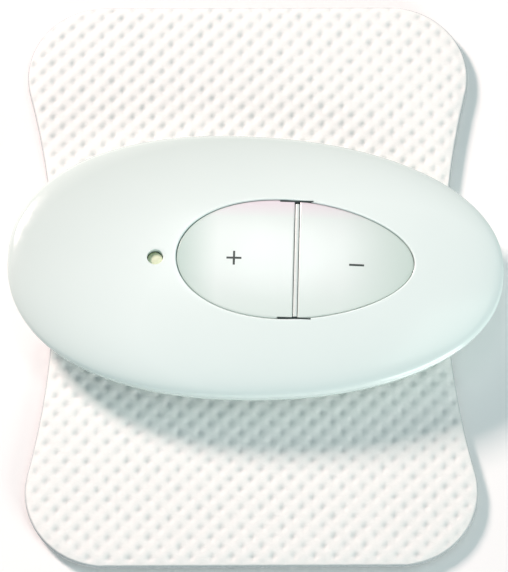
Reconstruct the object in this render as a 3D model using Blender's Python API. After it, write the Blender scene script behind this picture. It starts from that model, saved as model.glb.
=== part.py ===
"""Wireless TENS patch: a pebble-shaped pod snapped onto an hourglass electrode pad.

Frame: +X along the pod (indicator light at -X), +Y along the pad, +Z up. The origin is on the
skin side of the pad's release liner, at the bottom centre of the whole object.
The shapes are drawn in millimetres and become metres when a mesh is made.
"""

import math

import bmesh
import bpy

MM = 0.001
FULL_TURN = 2 * math.pi

# ---------------------------------------------------------------- clearances
GAP = 0.3                    # between neighbouring pieces
SEAT_GAP = 0.1               # between a soldered or bonded piece and what carries it
OVERSHOOT = 1.0              # how far a cutter runs past the face that it cuts
ROOT = 0.5                   # how far a joined shape runs into its body

# ---------------------------------------------------------------- electrode pad
PAD_HALF_LENGTH = 54.4
PAD_HALF_WIDTH = 40.0
PAD_WAIST_HALF_WIDTH = 35.1
PAD_CORNER_RADIUS = 14.1
PAD_SHIFT_X = -1.0           # the pad's outline is cut a little off the line of snaps
PAD_TURN = math.radians(2.0)
LINER_INSET = 0.4
GEL_INSET = 3.0
FILM_INSET = 4.0
ELECTRODE_SPACING = 3.0      # from the pad's centre line to each electrode
LINER_THICKNESS = 0.2
GEL_THICKNESS = 0.7
FILM_THICKNESS = 0.2
CLOTH_THICKNESS = 0.6

GEL_BOTTOM = LINER_THICKNESS + SEAT_GAP
GEL_TOP = GEL_BOTTOM + GEL_THICKNESS
FILM_BOTTOM = GEL_TOP + SEAT_GAP
FILM_TOP = FILM_BOTTOM + FILM_THICKNESS
CLOTH_BOTTOM = FILM_TOP + SEAT_GAP
CLOTH_TOP = CLOTH_BOTTOM + CLOTH_THICKNESS

# ---------------------------------------------------------------- snaps
SNAP_X = 27.0
STUD_HOLE_RADIUS = 1.6
STUD_FLANGE_RADIUS = 4.0
STUD_FLANGE_THICKNESS = 0.3
STUD_HEIGHT = 2.9
STUD_BORE_RADIUS = 1.3
STUD_NECK_RADIUS = 1.55
STUD_HEAD_RADIUS = 1.85
STUD_TIP_RADIUS = 0.2
POST_RADIUS = 1.1
POST_BORE_RADIUS = 0.6
EYELET_RADIUS = 4.5
EYELET_POCKET_DEPTH = 0.4
SNAP_HOLE_RADIUS = 3.6
SOCKET_FLANGE_RADIUS = 5.2
SOCKET_CROWN_RADIUS = 2.9
SOCKET_BARREL_RADIUS = 3.3
SOCKET_BORE_RADIUS = 2.6
SOCKET_WALL = 0.4
RING_RADIUS = 2.2
RING_WIRE_RADIUS = 0.16
RING_Z = 3.9
RING_OPENING = math.radians(40.0)

# ---------------------------------------------------------------- pod
POD_HALF_LENGTH = 44.2
POD_HALF_WIDTH = 25.3
POD_ROUNDNESS = 2.19         # superellipse exponent of the pod's outline
POD_EGG = 0.055              # how much fatter the outline is at -X
POD_BOTTOM = CLOTH_TOP + 1.0
RIM_Z = 8.3
DOME_HEIGHT = 4.3
TOP_WALL = 1.2
BOTTOM_WALL = 1.4
FLOOR = POD_BOTTOM + BOTTOM_WALL
UNDERSIDE = 0.80             # the flat underside, as a fraction of the outline
DOME_SWEEP = math.radians(82.0)
CUT_TOP = RIM_Z + DOME_HEIGHT + OVERSHOOT
POD_SEGMENTS = 56

# ---------------------------------------------------------------- keys and their bar
BAR_X = 7.35
BAR_HALF_WIDTH = 0.3
BAR_RECESS = 0.1
STRIP_HALF_WIDTH = 2.9
STRIP_THICKNESS = 0.2
KEY_CENTRE_X = 7.0
KEY_HALF_LENGTH = 21.0
KEY_HALF_WIDTH = 11.25
KEY_EGG = 0.125
KEY_RECESS = 0.15
KEY_CHAMFER = 0.25
KEY_WALL = 1.0
KEY_FLANGE = 0.8
KEY_FLANGE_SETBACK = 0.2     # the flange stops short of the key's straight edge
KEY_FLANGE_BOTTOM = 9.85
KEY_FLANGE_TOP = 10.2
KEY_CEILING = 11.0
KEY_STEPS = 20
NUB_RADIUS = 1.2
HINGE_OFFSET = 1.6           # from the bar's middle to each key's hinge axis
HINGE_Z = 9.95
HINGE_PIN_RADIUS = 0.4
HINGE_HOLE_RADIUS = 0.5
EAR_INNER_Y = 12.4
EAR_OUTER_Y = 13.4
EAR_TOP = 10.6
NOTCH_HALF_LENGTH = 3.0
NOTCH_DEPTH = 0.5

# ---------------------------------------------------------------- circuit board
BOARD_BOTTOM = 8.3
BOARD_TOP = 9.1
BOARD_HALF_LENGTH = 30.0
BOARD_HALF_WIDTH = 17.0
BOARD_POST_X = 22.0
BOARD_POST_Y = 9.5
BOARD_POST_RADIUS = 1.3
BOARD_PIN_RADIUS = 0.6
BOARD_HOLE_RADIUS = 0.8
BOARD_PIN_HEIGHT = 0.4
CHIP_TOP = BOARD_TOP + 1.0
CRYSTAL_TOP = BOARD_TOP + 0.8
CHIP_CHAMFER = 0.15

# ---------------------------------------------------------------- switches
SWITCH_ARM = 12.0            # from a key's hinge axis to its switch
SWITCH_HALF_SIZE = 3.0
SWITCH_TOP = 10.1
WELL_RADIUS = 2.2
WELL_FLOOR = 9.45
SNAP_DOME_BOTTOM = 9.55
PLUNGER_BOTTOM = 10.0
PLUNGER_SHOULDER = 10.2
PLUNGER_TOP = 10.8
PLUNGER_RADIUS = 1.2
PLUNGER_FOOT_RADIUS = 1.7
COVER_PLATE_BOTTOM = 10.3
COVER_PLATE_TOP = 10.5
COVER_PLATE_HOLE = 1.45

# ---------------------------------------------------------------- indicator light
LED_X = -17.9
LED_Y = -0.35
LED_RADIUS = 1.4
LED_FOOT_RADIUS = 1.8
LED_FOOT_HEIGHT = 0.5
LED_SHOULDER = 10.5
LED_LENS_HEIGHT = 1.1
LED_HOLE_RADIUS = 1.65

# ---------------------------------------------------------------- battery
CELL_RADIUS = 10.0
CELL_BOTTOM = 4.4
CELL_TOP = CELL_BOTTOM + 3.2
CONTACT_THICKNESS = 0.12
CONTACT_TOP = BOARD_BOTTOM - 0.15
LEAF_HALF_WIDTH = 1.5
BLADE_HALF_WIDTH = 2.2
BLADE_THICKNESS = 0.2
BLADE_BOTTOM = 5.7
COVER_RADIUS = 11.7
COVER_INNER_RADIUS = 10.7
COVER_PLATE_THICKNESS = 1.1
COVER_RING_TOP = 5.3
COVER_CHAMFER = 0.3
TAB_RADIUS = 13.4
TAB_BOTTOM = 4.7
TAB_HALF_ANGLE = math.radians(11.0)
SLOT_HALF_ANGLE = math.radians(15.0)
TAB_COUNT = 3
COVER_TURN = math.radians(45.0)   # from locked to open, clockwise seen from above
COIN_SLOT_HALF_LENGTH = 7.0
COIN_SLOT_HALF_WIDTH = 0.9
COIN_SLOT_DEPTH = 0.6

# ---------------------------------------------------------------- case screws
SCREW_X = 30.5
SCREW_Y = 8.5
HEAD_BOTTOM = 3.3
HEAD_TOP = 3.95
HEAD_RADIUS = 1.7
HEAD_HOLE_RADIUS = 2.0
HEAD_HOLE_TOP = 4.1
SHANK_RADIUS = 0.8
SHANK_HOLE_RADIUS = 1.1
SEAT_RADIUS = 2.6
SEAT_TOP = 5.0
BOSS_RADIUS = 2.2
BOSS_BOTTOM = 5.3
BOSS_TOP = 10.6
PILOT_RADIUS = 0.95
PILOT_TOP = 9.4
SCREW_TAPER_START = 8.4
SCREW_TIP = 9.0
SCREW_TIP_RADIUS = 0.3
CROSS_HALF_LENGTH = 1.1
CROSS_HALF_WIDTH = 0.22
CROSS_DEPTH = 0.35

# ---------------------------------------------------------------- output leads
LEAD_RADIUS = 0.35
LEAD_ROUTE = ((23.4, 0.9, 5.5), (22.6, 2.2, 5.8), (21.8, 3.4, 6.4), (21.2, 4.2, 7.1),
              (21.0, 4.5, 7.9))

# ---------------------------------------------------------------- colours
HOUSING_WHITE = (0.86, 0.90, 0.88)
COVER_WHITE = (0.84, 0.88, 0.86)
KEY_PEARL = (0.80, 0.83, 0.81)
CLOTH_WHITE = (0.93, 0.94, 0.92)
CARBON_BLACK = (0.03, 0.03, 0.03)
GEL_CLEAR = (0.75, 0.82, 0.80)
LINER_CLEAR = (0.85, 0.88, 0.90)
STEEL = (0.62, 0.62, 0.60)
NICKEL = (0.72, 0.70, 0.66)
SPRING_BRONZE = (0.60, 0.45, 0.25)
BOARD_GREEN = (0.03, 0.22, 0.10)
CHIP_BLACK = (0.02, 0.02, 0.022)
FERRITE_GREY = (0.10, 0.10, 0.11)
TANTALUM_YELLOW = (0.75, 0.50, 0.10)
LENS_YELLOW = (0.70, 0.72, 0.42)
SWITCH_BLACK = (0.03, 0.03, 0.03)
LEAD_RED = (0.55, 0.05, 0.04)
LEAD_BLACK = (0.02, 0.02, 0.02)


# ---------------------------------------------------------------- meshes and tools
def make_material(name, colour, roughness, metallic=0.0, transmission=0.0):
    """Return a Principled material."""
    material = bpy.data.materials.new(name)
    material.use_nodes = True
    shader = material.node_tree.nodes["Principled BSDF"]
    shader.inputs["Base Color"].default_value = (*colour, 1.0)
    shader.inputs["Roughness"].default_value = roughness
    shader.inputs["Metallic"].default_value = metallic
    shader.inputs["Transmission Weight"].default_value = transmission
    return material


def loft(name, rings, material=None, pivot=(0.0, 0.0, 0.0), endless=False):
    """Skin rings of equal length, capping the ends unless the last ring joins the first.

    The object's origin is put at the pivot.
    """
    bm = bmesh.new()
    loops = [[bm.verts.new(point) for point in ring] for ring in rings]
    pairs = list(zip(loops, loops[1:]))
    if endless:
        pairs.append((loops[-1], loops[0]))
    else:
        bm.faces.new(loops[0])
        bm.faces.new(loops[-1])
    for low, high in pairs:
        for index in range(len(low)):
            after = (index + 1) % len(low)
            bm.faces.new((low[index], low[after], high[after], high[index]))
    bmesh.ops.recalc_face_normals(bm, faces=bm.faces)
    for vertex in bm.verts:
        vertex.co = [(value - origin) * MM for value, origin in zip(vertex.co, pivot)]
    mesh = bpy.data.meshes.new(name)
    bm.to_mesh(mesh)
    bm.free()
    mesh.shade_smooth()
    mesh.set_sharp_from_angle(angle=math.radians(35))
    if material:
        mesh.materials.append(material)
    piece = bpy.data.objects.new(name, mesh)
    piece.location = [value * MM for value in pivot]
    bpy.context.collection.objects.link(piece)
    return piece


def at_height(outline, z):
    """Lift a flat outline to a height."""
    return [(x, y, z) for x, y in outline]


def prism(name, outline, bottom, top, material=None):
    """Return an upright prism."""
    return loft(name, [at_height(outline, bottom), at_height(outline, top)], material)


def turned(name, profile, centre, material=None, segments=24, pivot=(0.0, 0.0, 0.0),
           endless=False):
    """Return a turned piece from (radius, height) points."""
    rings = [at_height(circle(radius, centre, segments), z) for radius, z in profile]
    return loft(name, rings, material, pivot, endless)


def cylinder(name, radius, centre, bottom, top, segments=16):
    """Return an upright round tool."""
    return prism(name, circle(radius, centre, segments), bottom, top)


def rod_along_y(name, x, z, radius, start_y, end_y):
    """Return a round tool that lies along Y."""
    section = circle(radius, (x, z), 12)
    return loft(name, [[(px, y, pz) for px, pz in section] for y in (start_y, end_y)])


def combine(target, tool, operation):
    """Combine a tool with a target, and keep the tool itself out of the model."""
    tool.hide_render = True
    tool.display_type = "WIRE"
    modifier = target.modifiers.new(tool.name, "BOOLEAN")
    modifier.operation = operation
    modifier.solver = "EXACT"
    modifier.object = tool


def cut(target, tool):
    """Cut a tool out of a target."""
    combine(target, tool, "DIFFERENCE")


def join(target, tool):
    """Join a tool to a target."""
    combine(target, tool, "UNION")


# ---------------------------------------------------------------- plain outlines
def circle(radius, centre=(0.0, 0.0), segments=24):
    """Return the points of a circle."""
    angles = [FULL_TURN * index / segments for index in range(segments)]
    return [(centre[0] + radius * math.cos(a), centre[1] + radius * math.sin(a)) for a in angles]


def rectangle(half_x, half_y, centre=(0.0, 0.0)):
    """Return the corners of a rectangle."""
    corners = ((-1, -1), (1, -1), (1, 1), (-1, 1))
    return [(centre[0] + sx * half_x, centre[1] + sy * half_y) for sx, sy in corners]


def sector(inner, outer, middle, half_angle, steps=4):
    """Return a ring sector around the origin."""
    angles = [middle + half_angle * (2 * index / steps - 1) for index in range(steps + 1)]
    far = [(outer * math.cos(a), outer * math.sin(a)) for a in angles]
    near = [(inner * math.cos(a), inner * math.sin(a)) for a in reversed(angles)]
    return far + near


def four_corners(x, y):
    """Return the four mirrored places of a point."""
    return [(sx * x, sy * y) for sx in (-1, 1) for sy in (-1, 1)]


# ---------------------------------------------------------------- pad outlines
def pad_right_side(inset):
    """Return the pad's right side from bottom to top: a corner arc, a side arc, a corner arc."""
    corner_x = PAD_HALF_WIDTH - PAD_CORNER_RADIUS
    corner_y = PAD_HALF_LENGTH - PAD_CORNER_RADIUS
    step = corner_x - PAD_WAIST_HALF_WIDTH
    # The hollow side arc touches the corner arc, so their centres are both radii apart.
    side_radius = (step ** 2 + corner_y ** 2 - PAD_CORNER_RADIUS ** 2) / (
        2 * (PAD_CORNER_RADIUS + step))
    side_centre_x = PAD_WAIST_HALF_WIDTH + side_radius
    lean = math.atan2(corner_y, side_centre_x - corner_x)
    quarter = []
    side_steps, corner_steps = 6, 9
    for index in range(side_steps):
        angle = lean * index / side_steps
        radius = side_radius + inset
        quarter.append((side_centre_x - radius * math.cos(angle), radius * math.sin(angle)))
    for index in range(corner_steps + 1):
        angle = -lean + (math.pi / 2 + lean) * index / corner_steps
        radius = PAD_CORNER_RADIUS - inset
        quarter.append((corner_x + radius * math.cos(angle), corner_y + radius * math.sin(angle)))
    return [(x, -y) for x, y in reversed(quarter[1:])] + quarter


def turn_pad(points):
    """Turn and shift an outline drawn on the pad's own centre."""
    c, s = math.cos(PAD_TURN), math.sin(PAD_TURN)
    return [(PAD_SHIFT_X + c * x - s * y, s * x + c * y) for x, y in points]


def pad_outline(inset=0.0):
    """Return the whole hourglass outline."""
    right = pad_right_side(inset)
    return turn_pad(right + [(-x, -y) for x, y in right])


def electrode_outline(side, inset):
    """Return one electrode's outline; side is +1 for right and -1 for left."""
    end = PAD_HALF_LENGTH - inset
    right = [(ELECTRODE_SPACING, -end)] + pad_right_side(inset) + [(ELECTRODE_SPACING, end)]
    return turn_pad([(side * x, side * y) for x, y in right])


# ---------------------------------------------------------------- pod outlines
def superellipse(half_x, half_y, segments, egg=0.0):
    """Return a superellipse that is fatter at -X."""
    points = []
    for index in range(segments):
        angle = FULL_TURN * index / segments
        c, s = math.cos(angle), math.sin(angle)
        along = math.copysign(abs(c) ** (2 / POD_ROUNDNESS), c)
        across = math.copysign(abs(s) ** (2 / POD_ROUNDNESS), s)
        points.append((half_x * along, half_y * across * (1 - egg * along)))
    return points


def pod_outline(fraction=1.0, inset=0.0):
    """Return the pod's outline, drawn in by an inset and scaled."""
    return superellipse(fraction * (POD_HALF_LENGTH - inset),
                        fraction * (POD_HALF_WIDTH - inset), POD_SEGMENTS, POD_EGG)


def dome_top(x, y):
    """Return the height of the pod's outer surface over a point."""
    along = x / POD_HALF_LENGTH
    across = y / (POD_HALF_WIDTH * (1 - POD_EGG * along))
    distance = abs(along) ** POD_ROUNDNESS + abs(across) ** POD_ROUNDNESS
    fraction = distance ** (1 / POD_ROUNDNESS)
    return RIM_Z + DOME_HEIGHT * math.sqrt(1 - fraction ** 2)


def dome_rings(inset, steps):
    """Return rings up a dome, from its rim to near its middle."""
    rings = [at_height(pod_outline(inset=inset), RIM_Z + GAP / 2)]
    for index in range(1, steps):
        angle = DOME_SWEEP * index / (steps - 1)
        height = RIM_Z + (DOME_HEIGHT - inset) * math.sin(angle)
        rings.append(at_height(pod_outline(math.cos(angle), inset), height))
    return rings


def bowl_rings(inset, floor, steps):
    """Return rings down a bowl, from its rim to the edge of its flat floor."""
    rings = [at_height(pod_outline(inset=inset), RIM_Z - GAP / 2)]
    for index in range(1, steps):
        angle = math.pi / 2 * index / (steps - 1)
        fraction = UNDERSIDE + (1 - UNDERSIDE) * math.cos(angle)
        height = RIM_Z - (RIM_Z - floor) * math.sin(angle)
        rings.append(at_height(pod_outline(fraction, inset), height))
    return rings


# ---------------------------------------------------------------- key outlines
def key_oval(grow, start, end, steps):
    """Return points of the key oval, grown by a distance, between two angles."""
    points = []
    for index in range(steps + 1):
        angle = start + (end - start) * index / steps
        along = math.cos(angle)
        across = math.sin(angle) * (1 - KEY_EGG * along)
        points.append((KEY_CENTRE_X + (KEY_HALF_LENGTH + grow) * along,
                       (KEY_HALF_WIDTH + grow) * across))
    return points


def key_outline(side, grow=0.0, inner_inset=0.0):
    """Return one key's outline: the curved edge, then back along the straight inner edge."""
    edge_x = BAR_X + side * (BAR_HALF_WIDTH + GAP + inner_inset)
    edge_angle = math.acos((edge_x - KEY_CENTRE_X) / (KEY_HALF_LENGTH + grow))
    if side > 0:
        curve = key_oval(grow, -edge_angle, edge_angle, KEY_STEPS)
    else:
        curve = key_oval(grow, edge_angle, FULL_TURN - edge_angle, KEY_STEPS)
    end_y = curve[-1][1]
    return curve + [(edge_x, end_y * share) for share in (0.5, 0.0, -0.5)]


def shrink(outline, fraction):
    """Scale an outline about its middle."""
    middle_x = (max(x for x, _ in outline) + min(x for x, _ in outline)) / 2
    return [(middle_x + fraction * (x - middle_x), fraction * y) for x, y in outline]


def on_dome(outline, drop):
    """Lay an outline on the pod's outer surface, lowered by a drop."""
    return [(x, y, dome_top(x, y) - drop) for x, y in outline]


# ---------------------------------------------------------------- electrode pad
def make_pad():
    """Make the pad's layers and its two snap studs."""
    cloth = prism("backing_cloth", pad_outline(), CLOTH_BOTTOM, CLOTH_TOP,
                  make_material("nonwoven_cloth", CLOTH_WHITE, 0.9))
    prism("release_liner", pad_outline(LINER_INSET), 0.0, LINER_THICKNESS,
          make_material("liner_film", LINER_CLEAR, 0.15, transmission=0.6))
    carbon = make_material("carbon_film", CARBON_BLACK, 0.6)
    clear_gel = make_material("hydrogel", GEL_CLEAR, 0.2, transmission=0.5)
    nickel = make_material("stud_nickel", NICKEL, 0.25, 1.0)
    for label, side in (("left", -1), ("right", 1)):
        centre = (side * SNAP_X, 0.0)
        film = prism(label + "_carbon_film", electrode_outline(side, FILM_INSET),
                     FILM_BOTTOM, FILM_TOP, carbon)
        gel = prism(label + "_hydrogel", electrode_outline(side, GEL_INSET),
                    GEL_BOTTOM, GEL_TOP, clear_gel)
        hole = cylinder(label + "_stud_hole", STUD_HOLE_RADIUS, centre,
                        FILM_BOTTOM - SEAT_GAP / 2, CLOTH_TOP + OVERSHOOT)
        cut(cloth, hole)
        cut(film, hole)
        cut(gel, cylinder(label + "_eyelet_pocket", EYELET_RADIUS + GAP, centre,
                          GEL_TOP - EYELET_POCKET_DEPTH, GEL_TOP + OVERSHOOT, 20))
        make_snap_stud(label, centre, nickel)
        make_stud_eyelet(label, centre, nickel)


def make_snap_stud(label, centre, material):
    """Make one hollow stud, with its flange on the cloth and a neck below its head."""
    foot = CLOTH_TOP + SEAT_GAP
    collar = foot + STUD_FLANGE_THICKNESS
    roof = CLOTH_TOP + STUD_HEIGHT
    profile = [(STUD_BORE_RADIUS, foot), (STUD_FLANGE_RADIUS, foot),
               (STUD_FLANGE_RADIUS, collar), (1.75, collar + 0.15),
               (STUD_NECK_RADIUS, foot + 1.2), (STUD_HEAD_RADIUS, foot + 1.8),
               (STUD_HEAD_RADIUS - 0.1, roof - 0.4), (1.0, roof), (STUD_TIP_RADIUS, roof),
               (STUD_TIP_RADIUS, roof - 0.3), (STUD_BORE_RADIUS, roof - 0.5)]
    turned(label + "_snap_stud", profile, centre, material, 20, endless=True)


def make_stud_eyelet(label, centre, material):
    """Make the eyelet that rivets a stud to the pad from below."""
    flange_bottom = GEL_TOP - EYELET_POCKET_DEPTH + SEAT_GAP
    post_top = CLOTH_TOP + STUD_HEIGHT - 0.8
    profile = [(POST_BORE_RADIUS, flange_bottom), (EYELET_RADIUS, flange_bottom),
               (EYELET_RADIUS, GEL_TOP), (POST_RADIUS, GEL_TOP), (POST_RADIUS, post_top),
               (POST_BORE_RADIUS, post_top + 0.1)]
    turned(label + "_stud_eyelet", profile, centre, material, 16, endless=True)


# ---------------------------------------------------------------- pod shells
def make_top_shell(material):
    """Make the upper half of the pod, with the key opening, the light hole and screw bosses."""
    rings = list(reversed(dome_rings(0.0, 8))) + dome_rings(TOP_WALL, 7)
    shell = loft("top_shell", rings, material)
    opening_steps = 48
    opening = key_oval(GAP, 0.0, FULL_TURN, opening_steps)[:-1]
    cut(shell, prism("key_opening", opening, RIM_Z, CUT_TOP))
    for label, way in (("front", -1), ("back", 1)):
        notch = rectangle(NOTCH_HALF_LENGTH, NOTCH_DEPTH, (KEY_CENTRE_X, way * KEY_HALF_WIDTH))
        cut(shell, prism("key_notch_" + label, notch, RIM_Z, CUT_TOP))
    cut(shell, cylinder("light_hole", LED_HOLE_RADIUS, (LED_X, LED_Y), RIM_Z, CUT_TOP, 24))
    for number, place in enumerate(four_corners(SCREW_X, SCREW_Y), 1):
        label = str(number)
        join(shell, cylinder("screw_boss_" + label, BOSS_RADIUS, place, BOSS_BOTTOM, BOSS_TOP))
        cut(shell, cylinder("pilot_hole_" + label, PILOT_RADIUS, place,
                            BOSS_BOTTOM - OVERSHOOT, PILOT_TOP, 12))


def make_bottom_shell(material):
    """Make the lower half of the pod, with its screw, snap and battery openings."""
    rings = list(reversed(bowl_rings(0.0, POD_BOTTOM, 7))) + bowl_rings(BOTTOM_WALL, FLOOR, 6)
    shell = loft("bottom_shell", rings, material)
    below = POD_BOTTOM - OVERSHOOT
    above = FLOOR + OVERSHOOT
    for number, place in enumerate(four_corners(SCREW_X, SCREW_Y), 1):
        label = str(number)
        join(shell, cylinder("screw_seat_" + label, SEAT_RADIUS, place, FLOOR - ROOT, SEAT_TOP))
        cut(shell, cylinder("head_hole_" + label, HEAD_HOLE_RADIUS, place, below, HEAD_HOLE_TOP))
        cut(shell, cylinder("shank_hole_" + label, SHANK_HOLE_RADIUS, place,
                            POD_BOTTOM, SEAT_TOP + OVERSHOOT, 12))
    for number, place in enumerate(four_corners(BOARD_POST_X, BOARD_POST_Y), 1):
        label = str(number)
        join(shell, cylinder("board_post_" + label, BOARD_POST_RADIUS, place,
                             FLOOR - ROOT, BOARD_BOTTOM - SEAT_GAP, 12))
        join(shell, cylinder("board_pin_" + label, BOARD_PIN_RADIUS, place,
                             BOARD_BOTTOM - ROOT, BOARD_TOP + BOARD_PIN_HEIGHT, 12))
    for label, side in (("left", -1), ("right", 1)):
        cut(shell, cylinder(label + "_snap_hole", SNAP_HOLE_RADIUS, (side * SNAP_X, 0.0),
                            below, above, 24))
    cut(shell, cylinder("battery_hole", COVER_RADIUS + GAP, (0.0, 0.0), below, above, 40))
    for number, angle in enumerate(tab_angles(), 1):
        slot = sector(CELL_RADIUS, TAB_RADIUS + GAP, angle - COVER_TURN, SLOT_HALF_ANGLE)
        cut(shell, prism("bayonet_slot_" + str(number), slot, below, above))


def make_case_screws(material):
    """Make the four self-tapping screws, each with a cross recess."""
    chamfer = 0.15
    profile = [(HEAD_RADIUS - chamfer, HEAD_BOTTOM), (HEAD_RADIUS, HEAD_BOTTOM + chamfer),
               (HEAD_RADIUS, HEAD_TOP), (SHANK_RADIUS, HEAD_TOP),
               (SHANK_RADIUS, SCREW_TAPER_START), (SCREW_TIP_RADIUS, SCREW_TIP)]
    arms = ((CROSS_HALF_LENGTH, CROSS_HALF_WIDTH), (CROSS_HALF_WIDTH, CROSS_HALF_LENGTH))
    for number, place in enumerate(four_corners(SCREW_X, SCREW_Y), 1):
        screw = turned("case_screw_" + str(number), profile, place, material, 14)
        for index, (half_x, half_y) in enumerate(arms, 1):
            arm = prism("cross_arm_" + str(number) + "_" + str(index),
                        rectangle(half_x, half_y, place), HEAD_BOTTOM - OVERSHOOT,
                        HEAD_BOTTOM + CROSS_DEPTH)
            cut(screw, arm)


# ---------------------------------------------------------------- keys
def make_key(label, side, material):
    """Make one half-oval key: a thin cap with a flange below the shell and two hinge pins."""
    hinge_x = BAR_X + side * HINGE_OFFSET
    body = key_outline(side)
    crown = key_outline(side, -KEY_CHAMFER, KEY_CHAMFER)
    flange = key_outline(side, KEY_FLANGE, KEY_FLANGE_SETBACK)
    hollow = key_outline(side, -KEY_WALL, KEY_WALL)
    rings = [
        at_height(shrink(hollow, 0.4), KEY_CEILING),
        at_height(hollow, KEY_CEILING),
        at_height(hollow, KEY_FLANGE_BOTTOM),
        at_height(flange, KEY_FLANGE_BOTTOM),
        at_height(flange, KEY_FLANGE_TOP),
        at_height(body, KEY_FLANGE_TOP),
        on_dome(body, KEY_RECESS + KEY_CHAMFER),
        on_dome(crown, KEY_RECESS),
        on_dome(shrink(crown, 0.7), KEY_RECESS),
        on_dome(shrink(crown, 0.35), KEY_RECESS),
    ]
    key = loft(label + "_button", rings, material, (hinge_x, 0.0, HINGE_Z))
    nub_place = (hinge_x + side * SWITCH_ARM, 0.0)
    join(key, cylinder(label + "_nub", NUB_RADIUS, nub_place, PLUNGER_TOP + SEAT_GAP,
                       KEY_CEILING + 0.4, 12))
    for end, way in (("front", -1), ("back", 1)):
        join(key, rod_along_y(label + "_pin_" + end, hinge_x, HINGE_Z, HINGE_PIN_RADIUS,
                              way * (KEY_HALF_WIDTH - ROOT), way * (EAR_OUTER_Y - SEAT_GAP)))


def make_button_bar(material):
    """Make the thin bar between the keys, on a base strip with an ear at each end."""
    foot = BOARD_TOP + SEAT_GAP
    strip_top = foot + STRIP_THICKNESS
    half_length = KEY_HALF_WIDTH - SEAT_GAP
    bar = prism("button_bar", rectangle(STRIP_HALF_WIDTH, EAR_OUTER_Y, (BAR_X, 0.0)), foot,
                strip_top, material)
    steps = 8
    places = [half_length * (2 * index / steps - 1) for index in range(steps + 1)]
    low = [(y, foot + STRIP_THICKNESS / 2) for y in places]
    high = [(y, dome_top(BAR_X, y) - BAR_RECESS) for y in reversed(places)]
    faces = (BAR_X - BAR_HALF_WIDTH, BAR_X + BAR_HALF_WIDTH)
    join(bar, loft("bar_rib", [[(x, y, z) for y, z in low + high] for x in faces]))
    ear_middle = (EAR_INNER_Y + EAR_OUTER_Y) / 2
    ear_half = (EAR_OUTER_Y - EAR_INNER_Y) / 2
    for end, way in (("front", -1), ("back", 1)):
        ear = rectangle(STRIP_HALF_WIDTH, ear_half, (BAR_X, way * ear_middle))
        join(bar, prism("ear_" + end, ear, foot, EAR_TOP))
        for label, side in (("up", -1), ("down", 1)):
            cut(bar, rod_along_y(label + "_hinge_hole_" + end, BAR_X + side * HINGE_OFFSET,
                                 HINGE_Z, HINGE_HOLE_RADIUS, way * (EAR_INNER_Y - GAP),
                                 way * (EAR_OUTER_Y + GAP)))


# ---------------------------------------------------------------- switches
def make_switch(label, side, plastic, steel):
    """Make the tact switch under one key."""
    centre = (BAR_X + side * (HINGE_OFFSET + SWITCH_ARM), 0.0)
    base = prism(label + "_switch_base", rectangle(SWITCH_HALF_SIZE, SWITCH_HALF_SIZE, centre),
                 BOARD_TOP + SEAT_GAP, SWITCH_TOP, plastic)
    cut(base, cylinder(label + "_switch_well", WELL_RADIUS, centre, WELL_FLOOR,
                       SWITCH_TOP + OVERSHOOT, 20))
    foot = SNAP_DOME_BOTTOM
    snap_dome = [(1.9, foot), (1.6, foot + 0.15), (0.9, foot + 0.32), (0.2, foot + 0.35),
                 (0.2, foot + 0.23), (0.9, foot + 0.20), (1.5, foot + 0.05), (1.75, foot)]
    turned(label + "_switch_dome", snap_dome, centre, steel, 16, endless=True)
    plunger = [(PLUNGER_RADIUS, PLUNGER_TOP), (PLUNGER_RADIUS, PLUNGER_SHOULDER),
               (PLUNGER_FOOT_RADIUS, PLUNGER_SHOULDER), (PLUNGER_FOOT_RADIUS, PLUNGER_BOTTOM)]
    turned(label + "_switch_plunger", plunger, centre, plastic, 16,
           (*centre, PLUNGER_BOTTOM))
    plate_half = SWITCH_HALF_SIZE - SEAT_GAP
    plate = prism(label + "_switch_cover", rectangle(plate_half, plate_half, centre),
                  COVER_PLATE_BOTTOM, COVER_PLATE_TOP, steel)
    cut(plate, cylinder(label + "_plate_hole", COVER_PLATE_HOLE, centre, SWITCH_TOP,
                        COVER_PLATE_TOP + OVERSHOOT))


# ---------------------------------------------------------------- electronics
def make_board():
    """Make the circuit board and what is soldered to it."""
    outline = superellipse(BOARD_HALF_LENGTH, BOARD_HALF_WIDTH, 40)
    board = prism("circuit_board", outline, BOARD_BOTTOM, BOARD_TOP,
                  make_material("board_green", BOARD_GREEN, 0.4))
    for number, place in enumerate(four_corners(BOARD_POST_X, BOARD_POST_Y), 1):
        cut(board, cylinder("board_hole_" + str(number), BOARD_HOLE_RADIUS, place,
                            BOARD_BOTTOM - OVERSHOOT, BOARD_TOP + OVERSHOOT, 12))
    epoxy = make_material("chip_black", CHIP_BLACK, 0.35)
    top = BOARD_TOP + SEAT_GAP
    make_chip("microcontroller", 2.5, 2.5, (-24.0, 4.2), top, CHIP_TOP, epoxy)
    make_chip("output_driver", 2.0, 2.5, (-24.0, -4.2), top, CHIP_TOP, epoxy)
    make_chip("clock_crystal", 1.6, 1.0, (-18.0, 6.6), top, CRYSTAL_TOP,
              make_material("crystal_steel", STEEL, 0.25, 1.0))
    underside = BOARD_BOTTOM - SEAT_GAP
    make_chip("storage_capacitor", 3.6, 2.1, (-15.5, -9.5), underside - 2.6, underside,
              make_material("capacitor_yellow", TANTALUM_YELLOW, 0.5))
    rim_radius, drum_radius = 2.9, 2.1
    drum = [(rim_radius - 0.3, underside - 2.7), (rim_radius, underside - 2.5),
            (rim_radius, underside - 2.1), (drum_radius, underside - 1.9),
            (drum_radius, underside - 0.6), (rim_radius, underside - 0.4),
            (rim_radius, underside)]
    turned("boost_inductor", drum, (15.5, -9.5),
           make_material("ferrite_grey", FERRITE_GREY, 0.6), 20)


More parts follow.
